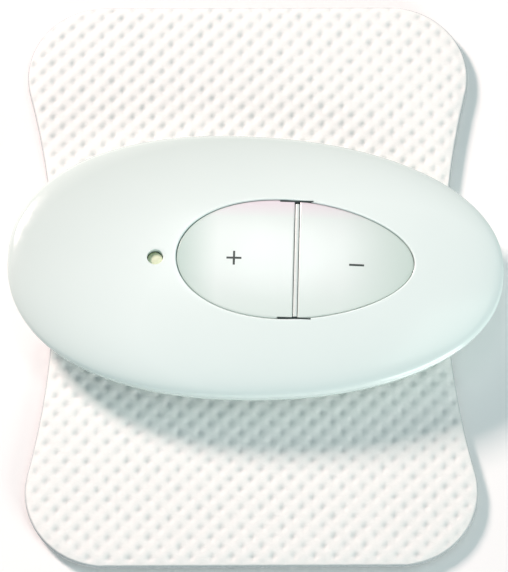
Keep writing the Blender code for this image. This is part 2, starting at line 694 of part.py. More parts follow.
def make_chip(name, half_x, half_y, centre, bottom, top, material):
    """Make a chip or a small block with bevelled top edges."""
    rings = [
        at_height(rectangle(half_x, half_y, centre), bottom),
        at_height(rectangle(half_x, half_y, centre), top - CHIP_CHAMFER),
        at_height(rectangle(half_x - CHIP_CHAMFER, half_y - CHIP_CHAMFER, centre), top),
    ]
    loft(name, rings, material)


def make_indicator():
    """Make the small light behind its hole."""
    foot = BOARD_TOP + SEAT_GAP
    profile = [(LED_FOOT_RADIUS, foot), (LED_FOOT_RADIUS, foot + LED_FOOT_HEIGHT),
               (LED_RADIUS, foot + LED_FOOT_HEIGHT)]
    steps = 5
    for index in range(steps):
        angle = math.pi / 2 * index / steps
        height = LED_SHOULDER + LED_LENS_HEIGHT * math.sin(angle)
        profile.append((LED_RADIUS * math.cos(angle), height))
    turned("indicator_led", profile, (LED_X, LED_Y),
           make_material("light_lens", LENS_YELLOW, 0.15, transmission=0.5), 20)


# ---------------------------------------------------------------- battery
def make_battery():
    """Make the coin cell and its two contacts."""
    cell = [(CELL_RADIUS - 0.4, CELL_BOTTOM), (CELL_RADIUS, CELL_BOTTOM + 0.4),
            (CELL_RADIUS, CELL_TOP - 0.5), (CELL_RADIUS - 0.6, CELL_TOP - 0.25),
            (CELL_RADIUS - 1.1, CELL_TOP - 0.25), (CELL_RADIUS - 1.3, CELL_TOP)]
    turned("coin_cell", cell, (0.0, 0.0), make_material("cell_steel", STEEL, 0.3, 1.0), 32)
    bronze = make_material("contact_bronze", SPRING_BRONZE, 0.3, 1.0)
    low = CELL_TOP + 0.15
    thickness = CONTACT_THICKNESS
    leaf = [(-4.0, low), (1.0, low), (4.0, CONTACT_TOP - thickness),
            (7.5, CONTACT_TOP - thickness), (7.5, CONTACT_TOP), (3.95, CONTACT_TOP),
            (0.95, low + thickness), (-4.0, low + thickness)]
    loft("battery_contact_negative",
         [[(x, y, z) for x, z in leaf] for y in (-LEAF_HALF_WIDTH, LEAF_HALF_WIDTH)], bronze)
    near = CELL_RADIUS + GAP
    far = near + 3.2
    blade = [(near, BLADE_BOTTOM), (near + BLADE_THICKNESS, BLADE_BOTTOM),
             (near + BLADE_THICKNESS, CONTACT_TOP - BLADE_THICKNESS),
             (far, CONTACT_TOP - BLADE_THICKNESS), (far, CONTACT_TOP), (near, CONTACT_TOP)]
    loft("battery_contact_positive",
         [[(x, y, z) for y, z in blade] for x in (-BLADE_HALF_WIDTH, BLADE_HALF_WIDTH)], bronze)


def tab_angles():
    """Return the middle angle of each of the battery cover's bayonet tabs, when locked."""
    return [math.pi / 2 + FULL_TURN * index / TAB_COUNT for index in range(TAB_COUNT)]


def make_battery_cover(material):
    """Make the round cover: a shallow cup with three bayonet tabs and a coin slot."""
    cup = [(COVER_RADIUS - COVER_CHAMFER, POD_BOTTOM), (COVER_RADIUS, POD_BOTTOM + COVER_CHAMFER),
           (COVER_RADIUS, COVER_RING_TOP), (COVER_INNER_RADIUS, COVER_RING_TOP),
           (COVER_INNER_RADIUS, POD_BOTTOM + COVER_PLATE_THICKNESS)]
    cover = turned("battery_cover", cup, (0.0, 0.0), material, 40, (0.0, 0.0, POD_BOTTOM))
    for number, angle in enumerate(tab_angles(), 1):
        tab = sector(COVER_RADIUS - ROOT, TAB_RADIUS, angle, TAB_HALF_ANGLE)
        join(cover, prism("bayonet_tab_" + str(number), tab, TAB_BOTTOM, COVER_RING_TOP))
    cut(cover, prism("coin_slot", rectangle(COIN_SLOT_HALF_LENGTH, COIN_SLOT_HALF_WIDTH),
                     POD_BOTTOM - OVERSHOOT, POD_BOTTOM + COIN_SLOT_DEPTH))


# ---------------------------------------------------------------- snaps of the pod
def make_socket(label, side, nickel, steel, insulation):
    """Make one female snap with its split ring and its lead."""
    centre = (side * SNAP_X, 0.0)
    seat = FLOOR + GAP
    flange_top = seat + 0.3
    roof = flange_top + 0.9
    mouth = POD_BOTTOM + GAP
    vent_radius = 0.3
    cup = [(vent_radius, roof), (SOCKET_CROWN_RADIUS, roof), (SOCKET_CROWN_RADIUS, flange_top),
           (SOCKET_FLANGE_RADIUS, flange_top), (SOCKET_FLANGE_RADIUS, seat),
           (SOCKET_BARREL_RADIUS, seat), (SOCKET_BARREL_RADIUS, mouth),
           (SOCKET_BORE_RADIUS, mouth), (SOCKET_BORE_RADIUS, roof - SOCKET_WALL),
           (vent_radius, roof - SOCKET_WALL)]
    turned(label + "_snap_socket", cup, centre, nickel, 24, endless=True)
    make_ring_spring(label, centre, steel)
    make_lead(label, side, insulation)


def make_ring_spring(label, centre, material):
    """Make the open ring that grips a stud."""
    steps = 18
    rings = []
    for index in range(steps + 1):
        angle = RING_OPENING / 2 + (FULL_TURN - RING_OPENING) * index / steps
        ring = []
        for radius, z in circle(RING_WIRE_RADIUS, (RING_RADIUS, RING_Z), 6):
            ring.append((centre[0] + radius * math.cos(angle),
                         centre[1] + radius * math.sin(angle), z))
        rings.append(ring)
    loft(label + "_ring_spring", rings, material)


def make_lead(label, side, material):
    """Make the insulated lead from a socket's flange up to the circuit board."""
    curve = bpy.data.curves.new(label + "_output_lead", "CURVE")
    curve.dimensions = "3D"
    curve.bevel_depth = LEAD_RADIUS * MM
    curve.bevel_resolution = 1
    curve.use_fill_caps = True
    curve.resolution_u = 1
    spline = curve.splines.new("POLY")
    spline.points.add(len(LEAD_ROUTE) - 1)
    for point, (x, y, z) in zip(spline.points, LEAD_ROUTE):
        point.co = (side * x * MM, side * y * MM, z * MM, 1.0)
    curve.materials.append(material)
    bpy.context.collection.objects.link(bpy.data.objects.new(label + "_output_lead", curve))


# ---------------------------------------------------------------- the whole unit
def main():
    """Clear the scene and build the whole unit."""
    for old in list(bpy.data.objects):
        bpy.data.objects.remove(old)
    housing = make_material("housing_white", HOUSING_WHITE, 0.15)
    pearl = make_material("key_pearl", KEY_PEARL, 0.3, 0.2)
    switch_plastic = make_material("switch_black", SWITCH_BLACK, 0.5)
    can_steel = make_material("can_steel", STEEL, 0.3, 1.0)
    nickel = make_material("snap_nickel", NICKEL, 0.25, 1.0)
    make_pad()
    make_top_shell(housing)
    make_bottom_shell(housing)
    make_case_screws(make_material("screw_steel", STEEL, 0.3, 1.0))
    make_button_bar(make_material("bar_white", HOUSING_WHITE, 0.25))
    for label, side in (("up", -1), ("down", 1)):
        make_key(label, side, pearl)
        make_switch(label, side, switch_plastic, can_steel)
    make_board()
    make_indicator()
    make_battery()
    make_battery_cover(make_material("cover_white", COVER_WHITE, 0.4))
    make_socket("left", -1, nickel, can_steel, make_material("lead_black", LEAD_BLACK, 0.5))
    make_socket("right", 1, nickel, can_steel, make_material("lead_red", LEAD_RED, 0.5))


main()
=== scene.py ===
"""Looks of the wireless TENS patch: a glossy pod snapped onto an embossed cloth electrode pad."""

import math

import bmesh
import bpy
import numpy as np
from mathutils import Matrix, Vector


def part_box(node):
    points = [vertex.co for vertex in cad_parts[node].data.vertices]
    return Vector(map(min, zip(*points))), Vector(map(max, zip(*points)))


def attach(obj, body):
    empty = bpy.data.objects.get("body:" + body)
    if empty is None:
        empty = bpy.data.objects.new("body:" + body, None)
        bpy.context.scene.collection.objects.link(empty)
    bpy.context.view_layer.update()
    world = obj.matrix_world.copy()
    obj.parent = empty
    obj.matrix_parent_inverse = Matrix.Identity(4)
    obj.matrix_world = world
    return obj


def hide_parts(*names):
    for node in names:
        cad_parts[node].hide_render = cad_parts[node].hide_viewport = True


MM = 0.001
FULL_TURN = 2 * math.pi

# Lengths are in millimetres and follow the CAD part. Z is counted from the liner's underside.
GAP = 0.3                    # seam between the two shells
PAD_HALF_LENGTH = 54.4
PAD_HALF_WIDTH = 40.0
PAD_WAIST_HALF_WIDTH = 35.1
PAD_CORNER_RADIUS = 14.1
PAD_SHIFT_X = -1.0
PAD_TURN = math.radians(2.0)
ELECTRODE_SPACING = 3.0      # from the pad's middle to each electrode's inner edge
SNAP_X = 27.0
SNAP_HOLE_RADIUS = 1.6
DOT_PITCH = 1.8075           # half the distance between the dots of a straight row
DOT_DEPTH = 0.27
CUT_EDGE = 0.34              # width of the cloth's rounded cut edge
POD_HALF_LENGTH = 44.2
POD_HALF_WIDTH = 25.3
POD_ROUNDNESS = 2.19         # power of the outline; 2 would be a plain ellipse
POD_EGG = 0.055              # narrowing toward +X
RIM_Z = 8.3
DOME_HEIGHT = 4.3
SHELL_POINTS = 320
TOP_WALL = 1.2
POD_BOTTOM = 3.0             # the pod's flat underside
POD_FLOOR = 4.4              # the inner face of its lower wall
UNDERSIDE = 0.80             # the flat underside's share of the outline
CUTTER_TOP = 14.0            # above the pod
CUTTER_BOTTOM = 2.0          # below the pod
FLOOR_CUT_TOP = 5.4          # where cuts up through the pod's floor end
BAR_X = 7.17
STRIP_X = 7.35
KEY_CENTRE_X = 7.0
KEY_HALF_LENGTH = 21.0
KEY_HALF_WIDTH = 11.25
KEY_EGG = 0.125
KEY_RECESS = 0.12
KEY_FALL = 0.16              # how much lower the keys lie at the oval's two ends
KEY_GROW = 0.06              # the keys and their opening close in on a thin gap
KEY_CURVE_STEPS = 96
KEY_EDGE_STEPS = 40
OPENING_GROW = 0.2
MARK_HALF_WIDTH = 0.19
MARK_RISE = 0.02
MARK_THICKNESS = 0.05
MARK_CELLS = 3               # cells on each side of a mark's middle one
BAR_HALF_WIDTH = 0.34
BAR_GAP = 0.13
HINGE_OFFSET = 1.6
HINGE_Z = 9.95
SWITCH_ARM = 12.0
LED_X = -17.9
LED_Y = -0.35
LED_RADIUS = 1.4
LED_HOLE_RADIUS = 1.43
LED_FLARE = 0.15
SCREW_X = 30.5
SCREW_Y = 8.5
FLOOR_Z = -0.02
FLOOR_HALF_SIZE = 4000.0

# Degrees and metres, with the lens in millimetres.
CAMERA_ELEVATION = 66.9
CAMERA_ROLL = 1.64
CAMERA_DISTANCE = 1.0
CAMERA_LENS = 350.6
CAMERA_SHIFT = (-0.0020, -0.0021)

SQUARE = ((-1, -1), (1, -1), (1, 1), (-1, 1))
SIDES = (("left", -1), ("right", 1))

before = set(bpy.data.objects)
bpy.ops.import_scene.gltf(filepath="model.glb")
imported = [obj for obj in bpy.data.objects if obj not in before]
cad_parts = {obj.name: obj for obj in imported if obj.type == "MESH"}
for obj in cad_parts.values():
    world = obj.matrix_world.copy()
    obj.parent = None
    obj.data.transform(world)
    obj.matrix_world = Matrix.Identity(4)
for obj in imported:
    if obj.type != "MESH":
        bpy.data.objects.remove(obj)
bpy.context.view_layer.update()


# ---------------------------------------------------------------- outlines
def turns(count):
    """Return evenly spaced angles of a full turn."""
    return np.arange(count) * FULL_TURN / count


def box_outline(half_x, half_y, centre=(0.0, 0.0)):
    """Return the corners of a rectangle, counter-clockwise."""
    return np.array([(centre[0] + sx * half_x, centre[1] + sy * half_y) for sx, sy in SQUARE])


def four_corners(x, y):
    """Return the four mirrored places of a point."""
    return [(sx * x, sy * y) for sx in (-1, 1) for sy in (-1, 1)]


def circle(radius, centre=(0.0, 0.0), count=64):
    """Return a circle's points."""
    angles = turns(count)
    return np.stack([centre[0] + radius * np.cos(angles), centre[1] + radius * np.sin(angles)], 1)


def wedge(middle, half_angle, near, far):
    """Return a piece of a ring between two radii, round a middle angle in degrees."""
    sweep = math.radians(middle) + np.linspace(-1, 1, 9) * math.radians(half_angle)
    outer = np.stack([far * np.cos(sweep), far * np.sin(sweep)], 1)
    inner = np.stack([near * np.cos(sweep), near * np.sin(sweep)], 1)[::-1]
    return np.concatenate([outer, inner])


def quarter_turn(steps, first=1):
    """Return the angles of a quarter turn in equal steps, from the first step to the last."""
    return [math.pi / 2 * step / steps for step in range(first, steps + 1)]


def pod_outline(angles, fraction=1.0, inset=0.0):
    """Return the pod's outline, drawn in by an inset and scaled."""
    c, s = np.cos(angles), np.sin(angles)
    along = np.sign(c) * np.abs(c) ** (2 / POD_ROUNDNESS)
    across = np.sign(s) * np.abs(s) ** (2 / POD_ROUNDNESS)
    x = fraction * (POD_HALF_LENGTH - inset) * along
    y = fraction * (POD_HALF_WIDTH - inset) * across * (1 - POD_EGG * along)
    return np.stack([x, y], 1)


def dome_z(points, inset=0.0):
    """Return the height of the pod's outer surface, or of the surface a wall's inset below it."""
    along = points[:, 0] / (POD_HALF_LENGTH - inset)
    across = points[:, 1] / ((POD_HALF_WIDTH - inset) * (1 - POD_EGG * along))
    distance = np.abs(along) ** POD_ROUNDNESS + np.abs(across) ** POD_ROUNDNESS
    fraction = distance ** (1 / POD_ROUNDNESS)
    height = RIM_Z + (DOME_HEIGHT - inset) * np.sqrt(np.maximum(0.0, 1 - fraction ** 2))
    return np.maximum(height, RIM_Z + GAP / 2)


def surface_z(x, y):
    """Return the height of the pod's outer surface at one point."""
    return float(dome_z(np.array([[x, y]]))[0])


def key_oval(angles, grow=0.0):
    """Return points of the key oval, grown by a distance."""
    c, s = np.cos(angles), np.sin(angles)
    x = KEY_CENTRE_X + (KEY_HALF_LENGTH + grow) * c
    y = (KEY_HALF_WIDTH + grow) * s * (1 - KEY_EGG * c)
    return np.stack([x, y], 1)


def key_outline(side, grow=0.0, inner_inset=0.0):
    """Return one key's outline: its curved edge, then back along its straight edge."""
    edge_x = BAR_X + side * (BAR_HALF_WIDTH + BAR_GAP + inner_inset)
    edge_angle = math.acos((edge_x - KEY_CENTRE_X) / (KEY_HALF_LENGTH + grow))
    if side > 0:
        angles = np.linspace(-edge_angle, edge_angle, KEY_CURVE_STEPS)
    else:
        angles = np.linspace(edge_angle, FULL_TURN - edge_angle, KEY_CURVE_STEPS)
    curve = key_oval(angles, grow)
    shares = np.linspace(1, -1, KEY_EDGE_STEPS + 2)[1:-1]
    edge = np.stack([np.full(KEY_EDGE_STEPS, edge_x), curve[-1, 1] * shares], 1)
    return np.concatenate([curve, edge])


def key_top(points):
    """Return the height of the keys' tops."""
    reach = np.abs(points[:, 0] - KEY_CENTRE_X) / KEY_HALF_LENGTH
    return dome_z(points) - KEY_RECESS - KEY_FALL * reach ** 3


def pad_half_width(y, inset=0.0):
    """Return half the pad's width at places along it, with the pad drawn in by an inset."""
    corner_x = PAD_HALF_WIDTH - PAD_CORNER_RADIUS
    corner_y = PAD_HALF_LENGTH - PAD_CORNER_RADIUS
    step = corner_x - PAD_WAIST_HALF_WIDTH
    side_radius = (step ** 2 + corner_y ** 2 - PAD_CORNER_RADIUS ** 2) / (
        2 * (PAD_CORNER_RADIUS + step))
    side_centre_x = PAD_WAIST_HALF_WIDTH + side_radius
    lean = math.atan2(corner_y, side_centre_x - corner_x)
    y = np.abs(y)
    small = PAD_CORNER_RADIUS - inset
    large = side_radius + inset
    meet = corner_y - small * math.sin(lean)
    side = side_centre_x - np.sqrt(np.maximum(0.0, large ** 2 - y ** 2))
    corner = corner_x + np.sqrt(np.maximum(0.0, small ** 2 - (y - corner_y) ** 2))
    return np.where(y < meet, side, corner)


def pad_rows(inset, step):
    """Return places along the pad, closer together where the corners turn."""
    corner_y = PAD_HALF_LENGTH - PAD_CORNER_RADIUS
    small = PAD_CORNER_RADIUS - inset
    even_share = 0.8
    start = corner_y + even_share * small
    count = int(2 * PAD_HALF_LENGTH / step)
    middle = np.linspace(-start, start, count)
    angles = np.linspace(math.asin(even_share), math.pi / 2, 26)[1:]
    end = corner_y + small * np.sin(angles)
    return np.concatenate([-end[::-1], middle, end])


def turn_pad(points):
    """Turn and shift points drawn on the pad's own centre."""
    c, s = math.cos(PAD_TURN), math.sin(PAD_TURN)
    x = PAD_SHIFT_X + c * points[..., 0] - s * points[..., 1]
    y = s * points[..., 0] + c * points[..., 1]
    return np.stack([x, y], -1)


def pad_loop(inset=0.0, step=1.0):
    """Return the hourglass outline, counter-clockwise."""
    rows = pad_rows(inset, step)
    half = pad_half_width(rows, inset)
    right = np.stack([half, rows], 1)
    left = np.stack([-half, rows], 1)[::-1]
    return turn_pad(np.concatenate([right, left]))


def electrode_loop(side, inset):
    """Return one electrode's outline, counter-clockwise."""
    rows = pad_rows(inset, 1.0)
    half = pad_half_width(rows, inset)
    right = np.stack([half, rows], 1)
    inner = np.stack([np.full(2, ELECTRODE_SPACING), [rows[-1], rows[0]]], 1)
    loop = np.concatenate([right, inner])
    loop[:, 0] *= side
    return turn_pad(loop if side > 0 else loop[::-1])


# ---------------------------------------------------------------- meshes
def lift(outline, z):
    """Give a flat outline its height."""
    return np.column_stack([outline, np.broadcast_to(z, len(outline))])


def new_object(name, vertices, faces):
    """Return an object from vertices in millimetres."""
    mesh = bpy.data.meshes.new(name)
    mesh.from_pydata((np.asarray(vertices) * MM).tolist(), [], faces)
    bm = bmesh.new()
    bm.from_mesh(mesh)
    bmesh.ops.recalc_face_normals(bm, faces=bm.faces)
    bm.to_mesh(mesh)
    bm.free()
    piece = bpy.data.objects.new(name, mesh)
    bpy.context.scene.collection.objects.link(piece)
    return piece


def skin(name, rings, endless=False):
    """Skin rings of equal length, capping the ends unless the last ring joins the first."""
    count = len(rings[0])
    total = len(rings)
    faces = []
    for low in range(total if endless else total - 1):
        high = (low + 1) % total
        for index in range(count):
            after = (index + 1) % count
            faces.append((low * count + index, low * count + after,
                          high * count + after, high * count + index))
    if not endless:
        faces.append(tuple(reversed(range(count))))
        faces.append(tuple(range((total - 1) * count, total * count)))
    return new_object(name, np.concatenate(rings), faces)


def lathe(name, profile, centre=(0.0, 0.0), count=64, endless=False):
    """Return a turned piece from (radius, height) points."""
    return skin(name, [lift(circle(r, centre, count), z) for r, z in profile], endless)


def rounded(profile, radius, steps=4):
    """Round the inner corners of an open profile of (radius, height) points."""
    points = [Vector(p) for p in profile]
    out = [points[0]]
    for before, corner, after in zip(points, points[1:], points[2:]):
        back, ahead = before - corner, after - corner
        reach = min(radius, back.length * 0.45, ahead.length * 0.45)
        start = corner + back.normalized() * reach
        end = corner + ahead.normalized() * reach
        for step in range(steps + 1):
            t = step / steps
            out.append((1 - t) ** 2 * start + 2 * t * (1 - t) * corner + t ** 2 * end)
    out.append(points[-1])
    return [tuple(p) for p in out]


def prism(name, outline, bottom, top):
    """Return an upright prism."""
    return skin(name, [lift(outline, bottom), lift(outline, top)])


def rod_along_y(name, x, z, radius, start, end):
    """Return a round bar that lies along Y."""
    count = 24
    section = circle(radius, (x, z), count)
    return skin(name, [np.column_stack([section[:, 0], np.full(count, y), section[:, 1]])
                       for y in (start, end)])


def slab(name, loop, inner_loop, bottom, top, edge):
    """Return a flat layer with a rounded edge; inner_loop is the loop drawn in by the edge."""
    bends = quarter_turn(4)[:-1]
    rings = [lift(inner_loop, bottom)]
    for angle in bends:
        rings.append(lift(inner_loop + (loop - inner_loop) * math.sin(angle),
                          bottom + edge * (1 - math.cos(angle))))
    rings += [lift(loop, bottom + edge), lift(loop, top - edge)]
    for angle in bends:
        rings.append(lift(inner_loop + (loop - inner_loop) * math.cos(angle),
                          top - edge * (1 - math.sin(angle))))
    rings.append(lift(inner_loop, top))
    return skin(name, rings)


def combine(target, tool, operation="DIFFERENCE"):
    """Cut or join a tool into a target for good, and remove the tool."""
    modifier = target.modifiers.new("cut", "BOOLEAN")
    modifier.operation = operation
    modifier.solver = "EXACT"
    modifier.object = tool
    graph = bpy.context.evaluated_depsgraph_get()
    mesh = bpy.data.meshes.new_from_object(target.evaluated_get(graph))
    target.modifiers.clear()
    old = target.data
    target.data = mesh
    mesh.name = target.name
    bpy.data.meshes.remove(old)
    bpy.data.objects.remove(tool)


def dress(piece, body, material, stands_for=(), sharp=32):
    """Clean and shade a piece, and make it ride its body in place of CAD nodes."""
    least = 0.0005 * MM
    bm = bmesh.new()
    bm.from_mesh(piece.data)
    bmesh.ops.remove_doubles(bm, verts=bm.verts, dist=least)
    bmesh.ops.dissolve_degenerate(bm, dist=least, edges=bm.edges)
    bm.to_mesh(piece.data)
    bm.free()
    piece.data.materials.clear()
    piece.data.materials.append(material)
    piece.data.shade_smooth()
    piece.data.set_sharp_from_angle(angle=math.radians(sharp))
    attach(piece, body)
    if stands_for:
        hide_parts(*stands_for)


# ---------------------------------------------------------------- materials
class Paint:
    """A procedural material built on one Principled shader."""

    def __init__(self, name, colour, roughness, metallic=0.0):
        self.material = bpy.data.materials.new(name)
        self.material.use_nodes = True
        self.nodes = self.material.node_tree.nodes
        self.links = self.material.node_tree.links
        self.shader = self.nodes["Principled BSDF"]
        self.set("Base Color", (*colour, 1.0))
        self.set("Roughness", roughness)
        self.set("Metallic", metallic)
        self.height = None
        self.place = self.nodes.new("ShaderNodeTexCoord").outputs["Object"]

    def set(self, socket, value):
        """Set one of the shader's own values."""
        self.shader.inputs[socket].default_value = value

    def noise(self, size_mm, detail=3.0, stretch=(1, 1, 1), turn=0.0):
        """Return a noise output whose features have a size in millimetres."""
        mapping = self.nodes.new("ShaderNodeMapping")
        mapping.inputs["Rotation"].default_value = (0, 0, turn)
        mapping.inputs["Scale"].default_value = stretch
        noise = self.nodes.new("ShaderNodeTexNoise")
        noise.inputs["Scale"].default_value = 1 / (size_mm * MM)
        noise.inputs["Detail"].default_value = detail
        self.links.new(self.place, mapping.inputs["Vector"])
        self.links.new(mapping.outputs["Vector"], noise.inputs["Vector"])
        return noise.outputs["Fac"]

    def slant(self, direction):
        """Return how far a point of the object lies along a direction."""
        node = self.nodes.new("ShaderNodeVectorMath")
        node.operation = "DOT_PRODUCT"
        node.inputs[1].default_value = direction
        self.links.new(self.place, node.inputs[0])
        return node.outputs["Value"]

    def spread(self, source, low, high, centre=0.5, width=0.4):
        """Map the values of a source round a centre onto a range."""
        node = self.nodes.new("ShaderNodeMapRange")
        node.inputs["From Min"].default_value = centre - width / 2
        node.inputs["From Max"].default_value = centre + width / 2
        node.inputs["To Min"].default_value = low
        node.inputs["To Max"].default_value = high
        self.links.new(source, node.inputs["Value"])
        return node.outputs["Result"]

    def ramp(self, source, stops):
        """Return a colour that runs through (position, colour) stops along a source."""
        node = self.nodes.new("ShaderNodeValToRGB")
        elements = node.color_ramp.elements
        elements.remove(elements[1])
        elements[0].position, elements[0].color = stops[0][0], (*stops[0][1], 1.0)
        for position, colour in stops[1:]:
            elements.new(position).color = (*colour, 1.0)
        self.links.new(source, node.inputs["Fac"])
        return node.outputs["Color"]

    def tint(self, source, first, second, low=0.35, high=0.65):
        """Colour the surface between two colours along a source."""
        colour = self.ramp(source, [(low, first), (high, second)])
        self.links.new(colour, self.shader.inputs["Base Color"])
        return colour

    def blend(self, first, second, kind="MIX", factor=None):
        """Colour the surface with a colour and a second one, mixed by a factor or in full."""
        mix = self.nodes.new("ShaderNodeMix")
        mix.data_type = "RGBA"
        mix.blend_type = kind
        mix.clamp_factor = False
        mix.inputs["Factor"].default_value = 1.0
        self.links.new(first, mix.inputs["A"])
        if isinstance(second, tuple):
            mix.inputs["B"].default_value = (*second, 1.0)
        else:
            self.links.new(second, mix.inputs["B"])
        if factor is not None:
            self.links.new(factor, mix.inputs["Factor"])
        self.links.new(mix.outputs["Result"], self.shader.inputs["Base Color"])

    def rough(self, source, low, high):
        """Vary the roughness along a source."""
        self.links.new(self.spread(source, low, high), self.shader.inputs["Roughness"])

    def bump(self, source, depth_mm):
        """Add a bump of a depth in millimetres on top of the earlier ones."""
        node = self.nodes.new("ShaderNodeBump")
        node.inputs["Strength"].default_value = 1.0
        node.inputs["Distance"].default_value = depth_mm * MM
        self.links.new(source, node.inputs["Height"])
        if self.height is not None:
            self.links.new(self.height, node.inputs["Normal"])
        self.links.new(node.outputs["Normal"], self.shader.inputs["Normal"])
        self.height = node.outputs["Normal"]


def glossy_plastic(name, rim, crown, roughness):
    """Moulded plastic with a faint orange peel and a tinted skin, greyed by painted shade toward
    its rim and its back left.
    """
    paint = Paint(name, crown, roughness)
    # Painted shade: the rim colour, low down and toward the back left, runs into the crown colour
    # on top.
    height = paint.spread(paint.slant((0.06, -0.10, 1.0)), 0.0, 1.0, 9.3 * MM, 4.6 * MM)
    painted_shade_tone = paint.tint(height, rim, crown, 0.0, 1.0)
    paint.blend(painted_shade_tone, (0.98, 0.985, 0.985), "MULTIPLY", paint.noise(9.0, 2.0))
    paint.rough(paint.noise(1.5, 4.0), roughness * 0.8, roughness * 1.25)
    paint.bump(paint.noise(2.4, 2.0), 0.004)
    paint.set("Coat Weight", 1.0)
    paint.set("Coat Roughness", 0.05)
    paint.set("Coat IOR", 1.06)
    paint.set("Coat Tint", (0.93, 0.948, 0.942, 1.0))
    return paint.material


def satin_plastic(name, first, second, roughness):
    """Plastic from a lightly spark-eroded mould."""
    paint = Paint(name, first, roughness)
    paint.tint(paint.noise(6.0, 3.0), first, second)
    paint.rough(paint.noise(0.8, 4.0), roughness * 0.85, roughness * 1.15)
    paint.bump(paint.noise(0.12, 3.0), 0.01)
    return paint.material


def pearl_plastic():
    """Satin pearl lacquer, a little pink at the back, with painted shade darkening it toward both
    ends.
    """
    paint = Paint("key_pearl_looks", (0.82, 0.88, 0.85), 0.34, 0.3)
    along = paint.spread(paint.slant((1.0, 0.0, 0.0)), 0.0, 1.0, 7 * MM, 42 * MM)
    across = paint.spread(paint.slant((0.0, 1.0, 0.0)), 0.0, 1.0, 0.0, 23 * MM)
    plain = (0.81, 0.87, 0.84)
    # Painted shade: the keys darken toward both ends of the oval.
    painted_end_shade = paint.ramp(along, [(0.0, (0.70, 0.79, 0.75)), (0.17, (0.98, 0.98, 0.98)),
                              (0.7, (0.99, 0.98, 0.98)), (1.0, (0.86, 0.92, 0.88))])
    pearl = paint.ramp(across, [(0.0, (0.84, 0.93, 0.88)), (0.3, plain), (0.84, plain),
                                (1.0, (0.90, 0.78, 0.84))])
    paint.blend(pearl, painted_end_shade, "MULTIPLY")
    paint.rough(paint.noise(7.0, 1.0), 0.33, 0.36)
    paint.set("Coat Weight", 0.5)
    paint.set("Coat Roughness", 0.15)
    return paint.material


def cloth_weave():
    """Nonwoven cloth: matted fibres that run every way, greyer at the dots, partly from crushed
    fibres and partly as painted shade in the dimples, and at the cut edge as painted shade.
    """
    paint = Paint("nonwoven_cloth_looks", (0.94, 0.95, 0.93), 0.9)
    pressed_and_shade = paint.nodes.new("ShaderNodeAttribute")
    pressed_and_shade.attribute_name = "pressed_and_shade"
    fibres = paint.noise(0.5, 5.0, (1, 6, 1), 0.5)
    loose = paint.tint(fibres, (0.90, 0.91, 0.885), (0.96, 0.965, 0.945))
    # The dot colour is partly crushed fibres and partly painted shade in the dimples; on the cut
    # edge it is painted shade.
    paint.blend(loose, (0.74, 0.76, 0.75), "MIX", pressed_and_shade.outputs["Fac"])
    paint.rough(paint.noise(0.6, 4.0), 0.82, 0.95)
    for turn in (0.4, 1.5, 2.5):
        paint.bump(paint.noise(0.9, 4.0, (1, 9, 1), turn), 0.035)
    paint.set("Sheen Weight", 0.25)
    paint.set("Sheen Roughness", 0.6)
    return paint.material


def clear_gel():
    """Tacky clear gel with small bubbles."""
    paint = Paint("hydrogel_looks", (0.88, 0.93, 0.92), 0.12)
    bubbles = paint.nodes.new("ShaderNodeTexVoronoi")
    bubbles.inputs["Scale"].default_value = 1 / (1.6 * MM)
    paint.links.new(paint.place, bubbles.inputs["Vector"])
    paint.tint(bubbles.outputs["Distance"], (0.80, 0.87, 0.86), (0.90, 0.95, 0.94), 0.05, 0.2)
    paint.bump(bubbles.outputs["Distance"], 0.02)
    paint.rough(paint.noise(2.0), 0.08, 0.2)
    paint.set("Transmission Weight", 0.75)
    paint.set("IOR", 1.38)
    return paint.material


def clear_film():
    """Glossy release film with faint waves."""
    paint = Paint("liner_film_looks", (0.90, 0.93, 0.95), 0.08)
    paint.tint(paint.noise(14.0, 2.0), (0.88, 0.92, 0.94), (0.94, 0.96, 0.97))
    paint.bump(paint.noise(6.0, 2.0), 0.03)
    paint.rough(paint.noise(3.0), 0.05, 0.14)
    paint.set("Transmission Weight", 0.7)
    paint.set("IOR", 1.5)
    return paint.material


def metal(name, first, second, roughness, grain=(1, 1, 1), size=0.3):
    """Plated or drawn metal with fine marks."""
    paint = Paint(name, first, roughness, 1.0)
    paint.tint(paint.noise(1.5, 3.0), first, second)
    paint.rough(paint.noise(size, 4.0, grain), roughness * 0.7, roughness * 1.35)
    paint.bump(paint.noise(size / 2, 3.0, grain), 0.002)
    return paint.material


def dull(name, first, second, roughness, size, depth):
    """A plain moulded, sintered or printed surface."""
    paint = Paint(name, first, roughness)
    paint.tint(paint.noise(size * 3, 3.0), first, second)
    paint.rough(paint.noise(size, 3.0), roughness * 0.85, min(1.0, roughness * 1.15))
    paint.bump(paint.noise(size, 4.0), depth)
    return paint.material


def light_lens():
    """The small light's pale yellow-green lens, darkened to olive toward the back left by painted
    shadow from the wall of its hole.
    """
    paint = Paint("light_lens_looks", (0.76, 0.80, 0.50), 0.3)
    # Painted shadow: the lens darkens toward the back left, where the wall of its hole shades it.
    depth = paint.spread(paint.slant((-0.5, 0.85, 0.0)), 0.0, 1.0, 9.25 * MM, 1.3 * MM)
    paint.tint(depth, (0.86, 0.90, 0.66), (0.30, 0.36, 0.17), 0.0, 1.0)
    paint.bump(paint.noise(0.3, 2.0), 0.003)
    paint.rough(paint.noise(0.5), 0.25, 0.35)
    return paint.material


# ---------------------------------------------------------------- electrode pad
def scatter(column, row, first, second, scale):
    """Return a number between 0 and 1 for each dot, unlike its neighbours' but always the same."""
    value = np.sin(column * first + row * second) * scale
    return value - np.floor(value)


